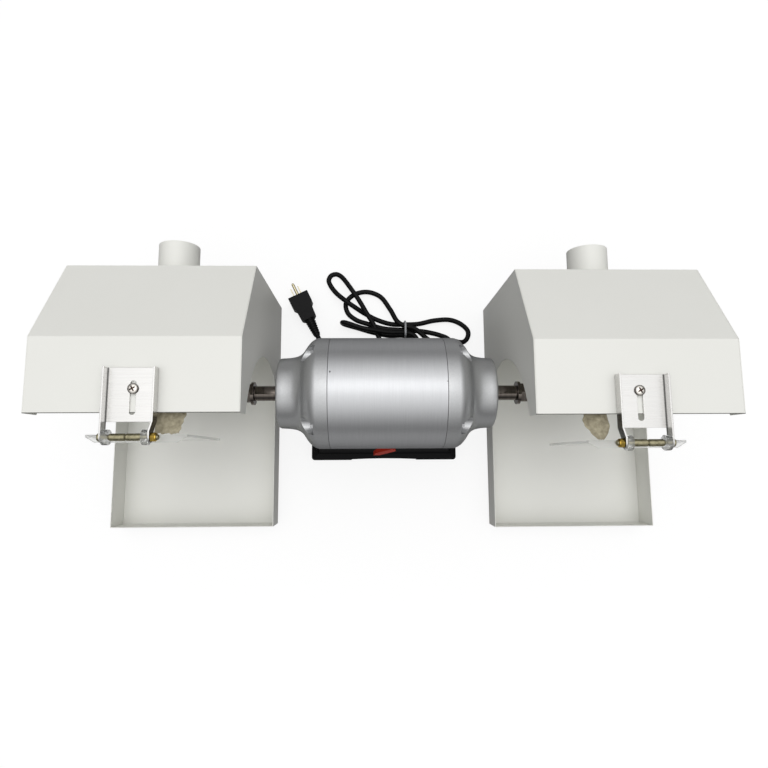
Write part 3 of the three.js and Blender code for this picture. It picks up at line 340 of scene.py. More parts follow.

# %% [markdown]
# ## Painted shade on the channels
# Painted shade darkens each fold where the bracket's flanges rise from its web. It also darkens
# the upright face on the motor's side of each channel ahead of the roof, which lies in shade.
# A fold is found by its distance in X and Z, and the dark side by its place and its normal.

# %% Painted shade on the channels
bracket_width = 58.5
bracket_thick = 2
fold_reach = bracket_width / 2 - bracket_thick
web_top = roof_height + seat_gap + bracket_thick
fold_shade_full, fold_shade_none = 0.7, 1.6
shade_full_ahead, shade_none_ahead = 3.45, 0.45
past_middle = 20
mill = metals["mill_aluminium"]
mill_shader = mill.node_tree.nodes["Principled BSDF"]
place = add_node(mill, "ShaderNodeTexCoord")
spot = add_node(mill, "ShaderNodeSeparateXYZ", {0: place.outputs["Object"]})
facing = add_node(mill, "ShaderNodeSeparateXYZ", {0: place.outputs["Normal"]})
out_x = add_node(mill, "ShaderNodeMath", {0: spot.outputs["X"]}, operation="ABSOLUTE")
from_middle = add_node(mill, "ShaderNodeMath", {0: out_x, 1: hood_middle * mm},
                       operation="SUBTRACT")
beside = add_node(mill, "ShaderNodeMath", {0: from_middle}, operation="ABSOLUTE")
to_fold = add_node(mill, "ShaderNodeMath", {0: beside, 1: fold_reach * mm},
                   operation="SUBTRACT")
above_web = add_node(mill, "ShaderNodeMath", {0: spot.outputs["Z"], 1: web_top * mm},
                     operation="SUBTRACT")
from_fold = add_node(mill, "ShaderNodeCombineXYZ", {0: to_fold, 1: above_web})
distance = add_node(mill, "ShaderNodeVectorMath", {0: from_fold}, operation="LENGTH")
fold_shade_mask = add_node(mill, "ShaderNodeMapRange",
                   {"Value": distance.outputs["Value"], "From Min": fold_shade_full * mm,
                    "From Max": fold_shade_none * mm, "To Min": 0.75, "To Max": 0.0})
ahead = add_node(mill, "ShaderNodeMapRange",
                 {"Value": spot.outputs["Y"], "From Min": (roof_line - shade_full_ahead) * mm,
                  "From Max": (roof_line - shade_none_ahead) * mm, "To Min": 0.9, "To Max": 0.0})
across_x = add_node(mill, "ShaderNodeMath", {0: facing.outputs["X"]}, operation="ABSOLUTE")
upright = add_node(mill, "ShaderNodeMath", {0: across_x, 1: 0.7}, operation="GREATER_THAN")
motor_side = add_node(mill, "ShaderNodeMath", {0: from_middle, 1: -past_middle * mm},
                      operation="LESS_THAN")
motor_flange = add_node(mill, "ShaderNodeMath", {0: upright, 1: motor_side},
                        operation="MULTIPLY")
dark_side = add_node(mill, "ShaderNodeMath", {0: motor_flange, 1: ahead},
                     operation="MULTIPLY")
# Painted shade: the folds and the motor-side flange ahead of the roof are mixed towards dark grey.
channel_shade = add_node(mill, "ShaderNodeMath", {0: fold_shade_mask, 1: dark_side}, operation="MAXIMUM")
bare = mill_shader.inputs["Base Color"].links[0].from_socket
shaded_aluminium = add_node(mill, "ShaderNodeMix", {0: channel_shade, 6: bare, 7: linear("#3B3B39")},
                 data_type="RGBA")
mill.node_tree.links.new(shaded_aluminium.outputs[2], mill_shader.inputs["Base Color"])
print("nodes in the aluminium:", len(mill.node_tree.nodes))

# %% [markdown]
# ## Painted highlight on the screw heads
# The clamp screws are browned steel. Their colour follows the height above the roof: the top of
# each head is painted near white as a painted highlight, while the low rim and the recess stay
# dark brown.

# %% Painted highlight on the screw heads
dark_below = roof_height + 3.7
bright_above = roof_height + 4.5
browned = metals["browned_steel"]
browned_shader = browned.node_tree.nodes["Principled BSDF"]
place = add_node(browned, "ShaderNodeTexCoord")
spot = add_node(browned, "ShaderNodeSeparateXYZ", {0: place.outputs["Object"]})
# Painted highlight: towards the head's top the colour turns from dark brown to the pale steel colour.
head_highlight = add_node(browned, "ShaderNodeMapRange",
                  {"Value": spot.outputs["Z"], "From Min": dark_below * mm,
                   "From Max": bright_above * mm})
bare = browned_shader.inputs["Base Color"].links[0].from_socket
highlighted_head = add_node(browned, "ShaderNodeMix", {0: head_highlight, 6: linear("#463730"), 7: bare},
                   data_type="RGBA")
browned.node_tree.links.new(highlighted_head.outputs[2], browned_shader.inputs["Base Color"])
print("screw heads, dark below and bright above, mm:", dark_below, bright_above)

# %% [markdown]
# ## Plastics and paper
# The switch knob is bright red moulded ABS. The switch housing is cream, and the cord's tie is
# grey vinyl over wire. The backing paper is what is left of the visors' protective film: thin,
# brown and creased. All four are one colour with soft clouds, so a loop makes them, and each
# row ends with the clouds' size in millimetres.

# %% Plastics and paper
plastics = {}
for name, dark, light, roughness, size in (
        ("red_abs", "#A92412", "#C4351C", 0.5, 4.0),
        ("cream_moulding", "#CFC8B3", "#DAD4C2", 0.5, 4.0),
        ("grey_vinyl_tie", "#85878A", "#A2A4A7", 0.4, 2.0),
        ("kraft_paper", "#453C23", "#CFC6AB", 0.8, 5.0)):
    plastic, shader = new_finish(name, light, 0.0, roughness)
    place = add_node(plastic, "ShaderNodeTexCoord")
    cloud = add_node(plastic, "ShaderNodeTexNoise",
                     {"Vector": place.outputs["Object"], "Scale": 1 / (size * mm), "Detail": 5.0})
    tone = add_node(plastic, "ShaderNodeMix", {0: cloud, 6: linear(dark), 7: linear(light)},
                    data_type="RGBA")
    skin = add_node(plastic, "ShaderNodeBump",
                    {"Height": cloud, "Strength": 0.2, "Distance": 0.08 * mm})
    plastic.node_tree.links.new(tone.outputs[2], shader.inputs["Base Color"])
    plastic.node_tree.links.new(skin.outputs["Normal"], shader.inputs["Normal"])
    plastics[name] = plastic

# %% [markdown]
# ## The visor's acrylic
# The visors are cast acrylic, 3 mm thick: clear as glass with an index of 1.49, fine scratches
# on its faces and frosted edges where it was sawn. The faces look along Y in the sheet's own
# space, so a normal that points elsewhere belongs to an edge. Half of the light goes straight
# through the edges by the alpha, so that they stay as faint as they are on the real sheet.

# %% The visor's acrylic
clear_acrylic, shader = new_finish("cast_acrylic", "#F5F6F4", 0.0, 0.04)
shader.inputs["IOR"].default_value = 1.49
place = add_node(clear_acrylic, "ShaderNodeTexCoord")
stretch = add_node(clear_acrylic, "ShaderNodeMapping",
                   {"Vector": place.outputs["Object"], "Scale": repeats(1.11, 1.11, 40)})
lines = add_node(clear_acrylic, "ShaderNodeTexNoise",
                 {"Vector": stretch, "Scale": 1.0, "Detail": 2.0})
dull = add_node(clear_acrylic, "ShaderNodeMapRange",
                {"Value": lines, "From Min": 0.5, "From Max": 0.8,
                 "To Min": 0.02, "To Max": 0.1})
facing = add_node(clear_acrylic, "ShaderNodeSeparateXYZ", {0: place.outputs["Normal"]})
face_on = add_node(clear_acrylic, "ShaderNodeMath", {0: facing.outputs["Y"]},
                   operation="ABSOLUTE")
sawn = add_node(clear_acrylic, "ShaderNodeMapRange",
                {"Value": face_on, "From Min": 0.5, "From Max": 0.8,
                 "To Min": 1.0, "To Max": 0.0})
frost = add_node(clear_acrylic, "ShaderNodeMath", {0: sawn, 1: 0.3}, operation="MULTIPLY")
haze = add_node(clear_acrylic, "ShaderNodeMath", {0: dull, 1: frost}, operation="MAXIMUM")
clearness = add_node(clear_acrylic, "ShaderNodeMath", {0: sawn, 1: -0.14, 2: 0.96},
                     operation="MULTIPLY_ADD")
body_share = add_node(clear_acrylic, "ShaderNodeMath", {0: sawn, 1: -0.5, 2: 1.0},
                      operation="MULTIPLY_ADD")
for node, socket in ((haze, "Roughness"), (clearness, "Transmission Weight"),
                     (body_share, "Alpha")):
    clear_acrylic.node_tree.links.new(node.outputs[0], shader.inputs[socket])
print("finishes:", len(bpy.data.materials))

# %% [markdown]
# ## Helpers for the pieces
# An operator works on everything that is selected, so each step first selects one piece alone.
# Three more helpers then cover most of the work. Soften rounds a piece's sharp edges with a
# bevel, because real edges always catch a line of light, and weights the normals by face size,
# so that a flat sheet stays evenly lit right up to its edge. Copy_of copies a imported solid,
# joins its loose triangles and dissolves them into whole faces. Fit hands a finished piece its
# material and the body that it moves with.

# %% Piece helpers
weld = 0.002 * mm


def only(piece):
    if bpy.context.mode != "OBJECT":
        bpy.ops.object.mode_set(mode="OBJECT")
    bpy.ops.object.select_all(action="DESELECT")
    piece.select_set(True)
    bpy.context.view_layer.objects.active = piece


def apply_modifiers(piece):
    only(piece)
    for modifier in list(piece.modifiers):
        bpy.ops.object.modifier_apply(modifier=modifier.name)


def soften(piece, radius, segments=2, sharper_than=32):
    bevel = piece.modifiers.new("edges", "BEVEL")
    bevel.width = radius * mm
    bevel.segments = segments
    bevel.limit_method = "ANGLE"
    bevel.angle_limit = math.radians(sharper_than)
    apply_modifiers(piece)
    only(piece)
    bpy.ops.object.shade_smooth_by_angle(angle=math.radians(35))
    even = piece.modifiers.new("even faces", "WEIGHTED_NORMAL")
    even.keep_sharp = True
    apply_modifiers(piece)


def copy_of(node, name):
    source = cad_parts[node]
    piece = bpy.data.objects.new(name, source.data.copy())
    scene.collection.objects.link(piece)
    only(piece)
    piece.data.materials.clear()
    bpy.ops.mesh.customdata_custom_splitnormals_clear()
    bpy.ops.object.mode_set(mode="EDIT")
    bpy.ops.mesh.select_all(action="SELECT")
    bpy.ops.mesh.remove_doubles(threshold=weld)
    bpy.ops.mesh.dissolve_limited(angle_limit=math.radians(0.5))
    bpy.ops.object.mode_set(mode="OBJECT")
    return piece


def fit(piece, body, slot, material, *nodes):
    piece.data.materials.clear()
    piece.data.materials.append(material)
    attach(piece, body)
    if nodes:
        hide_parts(*nodes)
    print("piece:", piece.name, "on", body)


# %% [markdown]
# ## Turned pieces
# The barrel, bells, shafts, feet, screws and tubes are all round, and in the workshop they are
# turned or spun. The same is done here: half of the section is drawn as a line of corners,
# distance along the axis first and radius second, and the spin operator sweeps it round.
# The doubles at the seam are merged before the faces are turned outwards.

# %% Turning
directions = {"X": Vector((1, 0, 0)), "Y": Vector((0, 1, 0)), "Z": Vector((0, 0, 1))}


def turned(name, profile, centre, axis="X", steps=72, edge=0.4):
    along = directions[axis]
    out = directions["X"] if axis == "Z" else directions["Z"]
    middle = at(*centre)
    corners = [middle + (along * distance + out * radius) * mm for distance, radius in profile]
    joined = [(i, i + 1) for i in range(len(corners) - 1)]
    if profile[0][1] > 0:
        joined.append((len(corners) - 1, 0))
    mesh = bpy.data.meshes.new(name)
    mesh.from_pydata(corners, joined, [])
    piece = bpy.data.objects.new(name, mesh)
    scene.collection.objects.link(piece)
    only(piece)
    bpy.ops.object.mode_set(mode="EDIT")
    bpy.ops.mesh.select_all(action="SELECT")
    bpy.ops.mesh.spin(steps=steps, angle=2 * math.pi, center=middle, axis=along)
    bpy.ops.mesh.select_all(action="SELECT")
    bpy.ops.mesh.remove_doubles(threshold=weld)
    bpy.ops.mesh.normals_make_consistent(inside=False)
    bpy.ops.object.mode_set(mode="OBJECT")
    soften(piece, edge)
    return piece


def cut(piece, cutter):
    boolean = piece.modifiers.new("cut", "BOOLEAN")
    boolean.object = cutter
    boolean.solver = "EXACT"
    apply_modifiers(piece)
    bpy.data.objects.remove(cutter)


# %% [markdown]
# ## Threads and wires
# A thread is a ridge that climbs round a core. Here it is a round wire on a spiral line along
# X: the line is a curve whose points sit a little closer to the axis as the taper narrows, and
# its bevel depth gives it thickness. Converted to a mesh it joins its screw.

# %% Threads and wires
corners_per_turn = 20
ridge_share = 0.42


def wire(name, places, thickness, sides):
    line = bpy.data.curves.new(name, "CURVE")
    line.dimensions = "3D"
    spline = line.splines.new("POLY")
    spline.points.add(len(places) - 1)
    for point, corner in zip(spline.points, places):
        point.co = (*corner, 1)
    line.bevel_depth = thickness / 2 * mm
    line.bevel_resolution = sides
    line.use_fill_caps = True
    piece = bpy.data.objects.new(name, line)
    scene.collection.objects.link(piece)
    return piece


def to_mesh(piece):
    only(piece)
    bpy.ops.object.convert(target="MESH")
    bpy.ops.object.shade_smooth_by_angle(angle=math.radians(50))
    return bpy.context.view_layer.objects.active


def thread(name, centre, start, end, start_radius, end_radius, pitch, hand=1):
    along, first = directions["X"], directions["Z"]
    second = along.cross(first)
    middle = at(*centre)
    turns = abs(end - start) / pitch
    count = int(turns * corners_per_turn)
    places = []
    for i in range(count + 1):
        share = i / count
        angle = hand * share * turns * 2 * math.pi
        radius = start_radius + (end_radius - start_radius) * share
        spoke = first * math.cos(angle) + second * math.sin(angle)
        places.append(middle + (along * (start + (end - start) * share) + spoke * radius) * mm)
    return to_mesh(wire(name, places, pitch * ridge_share, sides=1))


def join(pieces):
    only(pieces[0])
    for piece in pieces:
        piece.select_set(True)
    bpy.ops.object.join()
    return pieces[0]


# %% [markdown]
# ## The cord's route
# The lead leaves the base at the back, runs in loose loops through a tie and ends in its plug.
# Its shape is a list of places along the middle line: straight out of the gland, then those
# that follow the photograph, and last straight into the sleeve behind the plug.

# %% The cord's route
gland_spot = (90, 52, 24)
gland_reach = 26
plug_spot = (-140, 179.5, 12.4)
plug_turn = 0.448
plug_length = 44
sleeve_length = 30
straight = 8
exit_y = gland_spot[1] + gland_reach + seat_gap
plug_reach = plug_length + sleeve_length + seat_gap
cord_places = [
    (90, exit_y, 24), (90, exit_y + straight, 24), (99.5, 98, 21), (112.5, 104, 15), (125.5, 102.5, 9),
    (134.5, 104, 5.6), (141, 112, 4.5), (141.5, 122, 4.5), (131.5, 133, 4.5), (112.5, 141, 4.5),
    (85.5, 140, 4.5), (58.5, 134, 5.3), (36.5, 132.8, 6.7), (13.5, 133.8, 5.2), (-9.5, 141, 4.6),
    (-29.5, 151.5, 4.5), (-49.5, 163, 11.5), (-61.5, 171, 14), (-77.5, 185.5, 10),
    (-87.5, 200, 4.8), (-90.5, 209, 4.5), (-86.5, 217, 4.5), (-78, 219.5, 4.8), (-69.5, 215, 6),
    (-51.5, 190, 13.3), (-39.5, 172, 13.4), (-27.5, 151, 14), (-15.5, 131, 13.3),
    (-8.5, 113, 13.4), (-1.5, 96, 13.4), (11.5, 81, 12), (35.5, 72, 5.2), (60.5, 71, 8),
    (79.5, 81, 14), (83.5, 96, 13.8), (69.5, 109.5, 13.6), (51.5, 124, 15), (36.5, 128, 15.4),
    (24, 135.5, 15), (12, 158, 8), (-4.5, 181, 4.5), (-26.5, 189, 4.5), (-48.5, 184, 4.5),
    (-61.5, 170, 4.5), (-58.5, 153, 4.5), (-44.5, 141, 4.5), (-24.5, 134, 4.5), (1.5, 126.2, 4.9),
    (36.5, 123.2, 6.7), (68.5, 121, 4.8), (94.5, 115, 4.5), (108.5, 108.5, 4.5), (114, 97, 4.5),
    (107.5, 84, 4.5), (89.5, 81.5, 4.5), (70.5, 91, 4.6), (53.5, 105.5, 5.4), (36.5, 113.6, 6.7),
    (8.5, 114.6, 4.9), (-18.5, 120.3, 4.5), (-42.5, 127.5, 4.5), (-57.5, 131.7, 4.6),
    (-64.3, 133.4, 7.2), (-67.1, 134.2, 14), (-64.3, 133, 20.8), (-56.5, 130.4, 23.8),
    (-35.5, 123.5, 22.8), (-14.5, 119.5, 22.5), (10.5, 116.5, 19.8), (36.5, 117, 15.4),
    (49.5, 113.3, 14.8), (56, 103, 14.2), (47.5, 91, 11.5), (26.5, 87, 6), (3.5, 91, 4.5),
    (-28.5, 92, 4.5), (-60.5, 90, 4.5), (-83.5, 89, 5.2), (-97.5, 94, 9.5),
]
for behind in (plug_reach + straight, plug_reach):
    cord_places.append((plug_spot[0] + behind * math.sin(plug_turn),
                        plug_spot[1] - behind * math.cos(plug_turn), plug_spot[2]))
print("cord places:", len(cord_places))

# %% [markdown]
# ## The mains cord
# A smooth curve joins the places. Its slopes follow the distance between them, so it never
# loops or overshoots where they lie close. The cord stays a curve of one spline, with the
# jacket's thickness as its bevel.

# %% The mains cord
cord_width = 8


def smooth_line(places, parts=9):
    points = [at(*place) for place in places]
    points.insert(0, points[0] * 2 - points[1])
    points.append(points[-1] * 2 - points[-2])
    line = []
    for a, b, c, d in zip(points, points[1:], points[2:], points[3:]):
        before, here, after = [math.sqrt((q - p).length) for p, q in ((a, b), (b, c), (c, d))]
        leave = ((b - a) / before - (c - a) / (before + here) + (c - b) / here) * here
        arrive = ((c - b) / here - (d - b) / (here + after) + (d - c) / after) * here
        for i in range(parts):
            t = i / parts
            line.append(b + leave * t + (c * 3 - b * 3 - leave * 2 - arrive) * t ** 2
                        + (b * 2 - c * 2 + leave + arrive) * t ** 3)
    line.append(points[-2])
    return line


cord_line = smooth_line(cord_places)
mains_lead = wire("mains_lead", cord_line, cord_width, sides=6)
fit(mains_lead, "base", "cord_black", black_finishes["vinyl_jacket"], "mains_cord")

# %% [markdown]
# ## The plug
# The plug lies on the bench with its two flat blades below and the round earth pin above them.
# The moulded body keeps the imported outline, and gets generously rounded edges, as vinyl
# mouldings have, and a ribbed sleeve that lets the lead bend without breaking.

# %% Plug
plug_out = Vector((-math.sin(plug_turn), math.cos(plug_turn), 0))
plug_moulding = copy_of("plug_body", "plug_moulding")
soften(plug_moulding, 1.6, segments=3, sharper_than=28)
ribs = []
rib_count = 7
ribbed_length = 28
rib_radius = 0.95
root_radius = 8.0
tip_radius = 5.2
for i in range(rib_count):
    share = (i + 0.5) / rib_count
    middle = at(*plug_spot) - plug_out * (plug_length + ribbed_length * share) * mm
    bpy.ops.mesh.primitive_torus_add(
        major_radius=(root_radius + (tip_radius - root_radius) * share) * mm,
        minor_radius=rib_radius * mm, major_segments=32, minor_segments=8, location=middle,
        rotation=(math.pi / 2, 0, plug_turn))
    rib = bpy.context.view_layer.objects.active
    only(rib)
    bpy.ops.object.transform_apply(location=True, rotation=True, scale=True)
    bpy.ops.object.shade_smooth()
    ribs.append(rib)
plug_moulding = join([plug_moulding, *ribs])
fit(plug_moulding, "base", "cord_black", black_finishes["vinyl_jacket"], "plug_body")

for name in ("plug_left_blade", "plug_right_blade", "plug_ground_pin"):
    pin = copy_of(name, name + "_plated")
    soften(pin, 0.35, sharper_than=40)
    fit(pin, "base", "blade_brass", metals["nickel_brass"], name)

# %% [markdown]
# ## Gland
# The gland is a rubber sleeve through the base's rear wall, with rings that make it supple.
# A flange on each side of the wall holds it, and its outline steps down from ring to ring.

# %% Gland
gland_sleeve = turned("gland_sleeve", [
    (-7.0, 0), (-7.0, 8.5), (-4.4, 8.5), (-4.4, 6.2), (0.3, 6.2), (0.3, 8.5), (2.8, 8.5), (3.4, 7.2),
    (6.5, 6.9), (7.2, 6.0), (8.6, 6.0), (9.3, 6.7), (12.0, 6.4), (12.7, 5.6), (14.1, 5.6),
    (14.8, 6.2), (17.5, 6.0), (18.2, 5.2), (19.6, 5.2), (20.3, 5.7), (26.0, 5.0), (26.0, 0),
], gland_spot, axis="Y", edge=0.3)
fit(gland_sleeve, "base", "black_rubber", black_finishes["moulded_rubber"], "cord_gland")

# %% [markdown]
# ## Tie
# The tie is a flat strip of vinyl over wire, bent once round the strands and twisted below.
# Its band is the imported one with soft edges, and two thin wires wound on each other make
# the twisted tail, which lies low on the side towards the motor.

# %% Tie
tie_x = 36.5
twist_radius = 0.7
twist_step = 0.7
tail_start = 105.4
tail_step = 0.45
tail_height = 4.6
tail_corners = 34
tail_wire = 1.2
tie_band = copy_of("cord_twist_tie", "tie_band")
soften(tie_band, 0.3)
tail_parts = []
for turn_start in (0, math.pi):
    tail = []
    for i in range(tail_corners):
        angle = turn_start + i * twist_step
        tail.append(at(tie_x + twist_radius * math.cos(angle), tail_start - i * tail_step,
                       tail_height + twist_radius * math.sin(angle)))
    tail_parts.append(to_mesh(wire("tie_tail", tail, tail_wire, sides=2)))
tie_band = join([tie_band, *tail_parts])
fit(tie_band, "base", "tie_grey", plastics["grey_vinyl_tie"], "cord_twist_tie")

# %% [markdown]

# %% [markdown]
# ## Barrel
# The motor's tube is rolled steel, lightly rounded at its ends so that a fine dark seam shows
# against each bell. It is turned from the four corners of its wall.

# %% Barrel
motor_centre = (0, 0, axis_height)
barrel_radius = 74
barrel_bore = 70
seam_x = 74.2
barrel_half = seam_x - seat_gap
barrel_shell = turned("barrel_shell", [
    (-barrel_half, barrel_bore), (-barrel_half, barrel_radius), (barrel_half, barrel_radius),
    (barrel_half, barrel_bore)], motor_centre, steps=128, edge=0.5)
fit(barrel_shell, "base", "barrel_silver", silver_lacquer, "motor_barrel")

# %% [markdown]
# ## End bells
# A bell is a casting with an S-shaped shoulder: its outline falls in a smooth curve from the
# tube's radius to a long straight nose, and comes back inside as a bearing seat and a spigot.
# Four pockets are cut into the shoulder for the tie bolts. They are made as a foundry core
# makes them, with round plugs taken away, a little further out than the bolts, so that each
# pocket opens to the side and shows its head.

# %% End bells
nose_end_x = 141.8
shoulder = [(seam_x, barrel_radius), (89.0, barrel_radius), (93.5, 72.6), (97.7, 70.0),
            (101.0, 66.7), (103.7, 63.3), (106.0, 59.8), (108.5, 56.0), (110.8, 53.5),
            (113.5, 51.4), (117.6, 49.4), (122.0, 48.3), (127.5, 47.45), (133.0, 47.1),
            (138.8, 46.8)]
nose_edge = [(140.9, 45.9), (nose_end_x, 43.8)]
bearing_seat = [(nose_end_x, 11.2), (137.8, 11.2), (137.8, 23.8), (123.2, 23.8)]
inner_wall = [(123.2, 39.4), (112.7, 44.4), (86.5, 48.0), (86.5, 65.0)]
spigot = [(66.2, 65.0), (66.2, 69.6), (seam_x, 69.6)]
bell_outline = shoulder + nose_edge + bearing_seat + inner_wall + spigot
pocket_radius = 11
pocket_floor = 92.5
pocket_circle = 65.5
plug_depth = 40
for side, sign in side_sign.items():
    profile = [(sign * x, radius) for x, radius in bell_outline]
    bell = turned(f"{side}_bell_casting", profile, motor_centre, steps=128, edge=0.35)
    for quarter in range(4):
        angle = math.pi / 4 + quarter * math.pi / 2
        y, z = pocket_circle * math.cos(angle), pocket_circle * math.sin(angle)
        bpy.ops.mesh.primitive_cylinder_add(
            vertices=40, radius=pocket_radius * mm, depth=plug_depth * mm,
            location=at(sign * (pocket_floor + plug_depth / 2), y, axis_height + z),
            rotation=(0, math.pi / 2, 0))
        cut(bell, bpy.context.view_layer.objects.active)
    soften(bell, 0.5, sharper_than=38)
    fit(bell, "base", "bell_silver", cast_silver, f"{side}_end_bell")

# %% [markdown]
# ## Shaft and arbors
# The spindle is ground steel, the same at both ends: a collar behind each bearing, and a short
# stub that carries the arbor. Each arbor has a thin round flange, a hexagon for the spanner,
# and a long taper with a coarse thread on which wheels and brushes screw themselves tight.
# The right end's thread climbs one way and the left end's the other, so both tighten in use.

# %% Shaft and arbors
half_shaft = [(113.2, 10), (113.2, 13), (123.2, 13), (123.2, 10), (175.2, 10), (175.2, 6),
              (187.2, 6), (187.2, 0)]
other_half = [(-x, radius) for x, radius in reversed(half_shaft)]
shaft_steel = turned("shaft_steel", other_half + half_shaft, motor_centre, steps=64, edge=0.3)
fit(shaft_steel, "rotor", "spindle_steel", metals["ground_steel"], "motor_shaft")

thread_start, thread_end = 202, 249.5
taper_start, taper_end = 7.5, 2.6
coarse_pitch = 2.8
for side, sign in side_sign.items():
    flange = copy_of(f"{side}_arbor", f"{side}_arbor_blank")
    soften(flange, 0.45, sharper_than=40)
    ridge = thread(f"{side}_arbor_thread", motor_centre, sign * thread_start, sign * thread_end,
                   taper_start, taper_end, coarse_pitch, hand=sign)
    arbor = join([flange, ridge])
    arbor.name = f"{side}_arbor_turned"
    fit(arbor, "rotor", "spindle_steel", metals["ground_steel"], f"{side}_arbor")

# %% [markdown]
# ## Base and knob
# The pedestal is one iron casting: a wide foot with a shallow hollow in its front edge, sloping
# sides and a cradle under the barrel. Its edges are as soft as sand moulds leave them.
# The pointer knob is a disc with a finger bar across it. Both keep their packed form.

# %% Base and knob
pedestal = copy_of("base_casting", "pedestal")
soften(pedestal, 1.6, segments=3, sharper_than=25)
fit(pedestal, "base", "base_black", black_finishes["black_stove_enamel"], "base_casting")

knob = copy_of("switch_knob", "pointer_knob")
soften(knob, 1.0, segments=3, sharper_than=35)
fit(knob, "switch", "knob_red", plastics["red_abs"], "switch_knob")

# %% [markdown]
# ## Feet
# Four rubber feet spread a little upwards under the pedestal's corners, and a stem holds each
# one in its hole.

# %% Feet
foot_x = 95
foot_y = {"front": -70.7, "rear": 33}
foot_outline = [(0, 0), (0, 10.2), (1.0, 11.2), (7.0, 13.0), (8.0, 12.6), (8.0, 4.0), (14.0, 4.0),
                (14.0, 0)]
for end, y in foot_y.items():
    for side, sign in side_sign.items():
        foot = turned(f"foot_{end}_{side}_rubber", foot_outline, (sign * foot_x, y, 0), axis="Z",
                      steps=48, edge=0.3)
        fit(foot, "base", "black_rubber", black_finishes["moulded_rubber"], f"foot_{end}_{side}")

# %% [markdown]
# ## Hoods
# Each hood is folded sheet 1.2 mm thick: a tray with an upturned lip, a cowl folded from the back
# wall over a slope to the roof, and two side panels with a large round throat. The packed
# panels keep 0.3 mm between them, and on the real hood those seams are welded and coated,
# so the tray and the cowl are stretched by that much until they meet the sides.

# %% Hood sheets
for side, sign in side_sign.items():
    body = f"{side}_hood"
    middle_x = sign * hood_middle * mm
    for part in ("tray", "cowl", "inner_side", "outer_side"):
        node = f"{side}_hood_{part}"
        sheet = copy_of(node, f"{node}_coated")
        if part in ("tray", "cowl"):
            lowest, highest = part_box(node)
            half = (highest.x - lowest.x) / 2
            for corner in sheet.data.vertices:
                corner.co.x = middle_x + (corner.co.x - middle_x) * (half + seat_gap * mm) / half
        soften(sheet, 0.45, sharper_than=25)
        fit(sheet, body, "hood_white", powder_coat, node)

# %% [markdown]
# ## Duct stubs
# A short tube is set into each back wall for the dust hose. It is rolled and welded, with a thin
# fillet where it meets the wall and a lightly rounded rim.

# %% Duct stubs
fittings_x = 289.5
hood_back = 161.1
duct_height = 150
duct_radius = 27.6
duct_bore = 26.4
duct_reach = 47
duct_outline = [(-4, duct_bore), (-4, duct_radius), (-1.2, duct_radius), (0, duct_radius),
                (0, 29.0), (0.5, 28.1), (1.4, duct_radius), (duct_reach, duct_radius),
                (duct_reach, duct_bore)]
for side, sign in side_sign.items():
    wall_spot = (sign * fittings_x, hood_back + hood_stagger[side], duct_height)
    stub = turned(f"{side}_duct_coated", duct_outline, wall_spot, axis="Y", steps=96, edge=0.3)
    fit(stub, f"{side}_hood", "hood_white", powder_coat, f"{side}_hood_duct")

# %% [markdown]
# ## Visor brackets
# A bracket is a short aluminium channel with a long slot. Its outline is not convex, so its
# faces are first split where they turn inwards, or a bevel could pull one across a notch.

# %% Visor brackets
for side in side_sign:
    channel = copy_of(f"{side}_visor_bracket", f"{side}_channel")
    bpy.ops.object.mode_set(mode="EDIT")
    bpy.ops.mesh.select_all(action="SELECT")
    bpy.ops.mesh.vert_connect_concave()
    soften(channel, 0.25, sharper_than=30)
    fit(channel, f"{side}_bracket", "bracket_aluminium", metals["mill_aluminium"],
        f"{side}_visor_bracket")

# %% [markdown]
# ## Clamp screws
# A pan-head screw clamps each bracket to the roof, with a nut below. The screw is turned, and
# its cross recess is cut with two thin blocks, as the header's punch strikes it.

# %% Clamp screws
clamp_screw_y = -8.6
screw_outline = [(-8.5, 0), (-8.5, 2.5), (2.6, 2.5), (2.6, 6.2), (3.8, 6.2), (5.0, 5.2),
                 (5.6, 3.4), (5.8, 0)]
recess_size = (7.0 * mm, 1.7 * mm, 4.0 * mm)
recess_height = roof_height + 5.2
recess_turn = 0.5
for side, sign in side_sign.items():
    spot = (sign * fittings_x, clamp_screw_y + hood_stagger[side], roof_height)
    screw = turned(f"{side}_clamp_screw_plated", screw_outline, spot, axis="Z", steps=40, edge=0.3)
    for turn in (recess_turn, recess_turn + math.pi / 2):
        bpy.ops.mesh.primitive_cube_add(size=1, location=at(spot[0], spot[1], recess_height),
                                        rotation=(0, 0, turn))
        bpy.context.view_layer.objects.active.scale = recess_size
        cut(screw, bpy.context.view_layer.objects.active)
    soften(screw, 0.12, sharper_than=40)
    fit(screw, f"{side}_hood", "zinc_steel", metals["browned_steel"], f"{side}_clamp_screw")

    nut = copy_of(f"{side}_clamp_nut", f"{side}_clamp_nut_plated")
    soften(nut, 0.3, sharper_than=40)
    fit(nut, f"{side}_hood", "zinc_steel", metals["zinc_plate"], f"{side}_clamp_nut")

# %% [markdown]
# ## Hinge bolts
# Each visor hangs on a zinc-plated bolt that passes through both flanges. Its fine thread ends
# on the motor's side, where it stands out of a bright yellow nut.

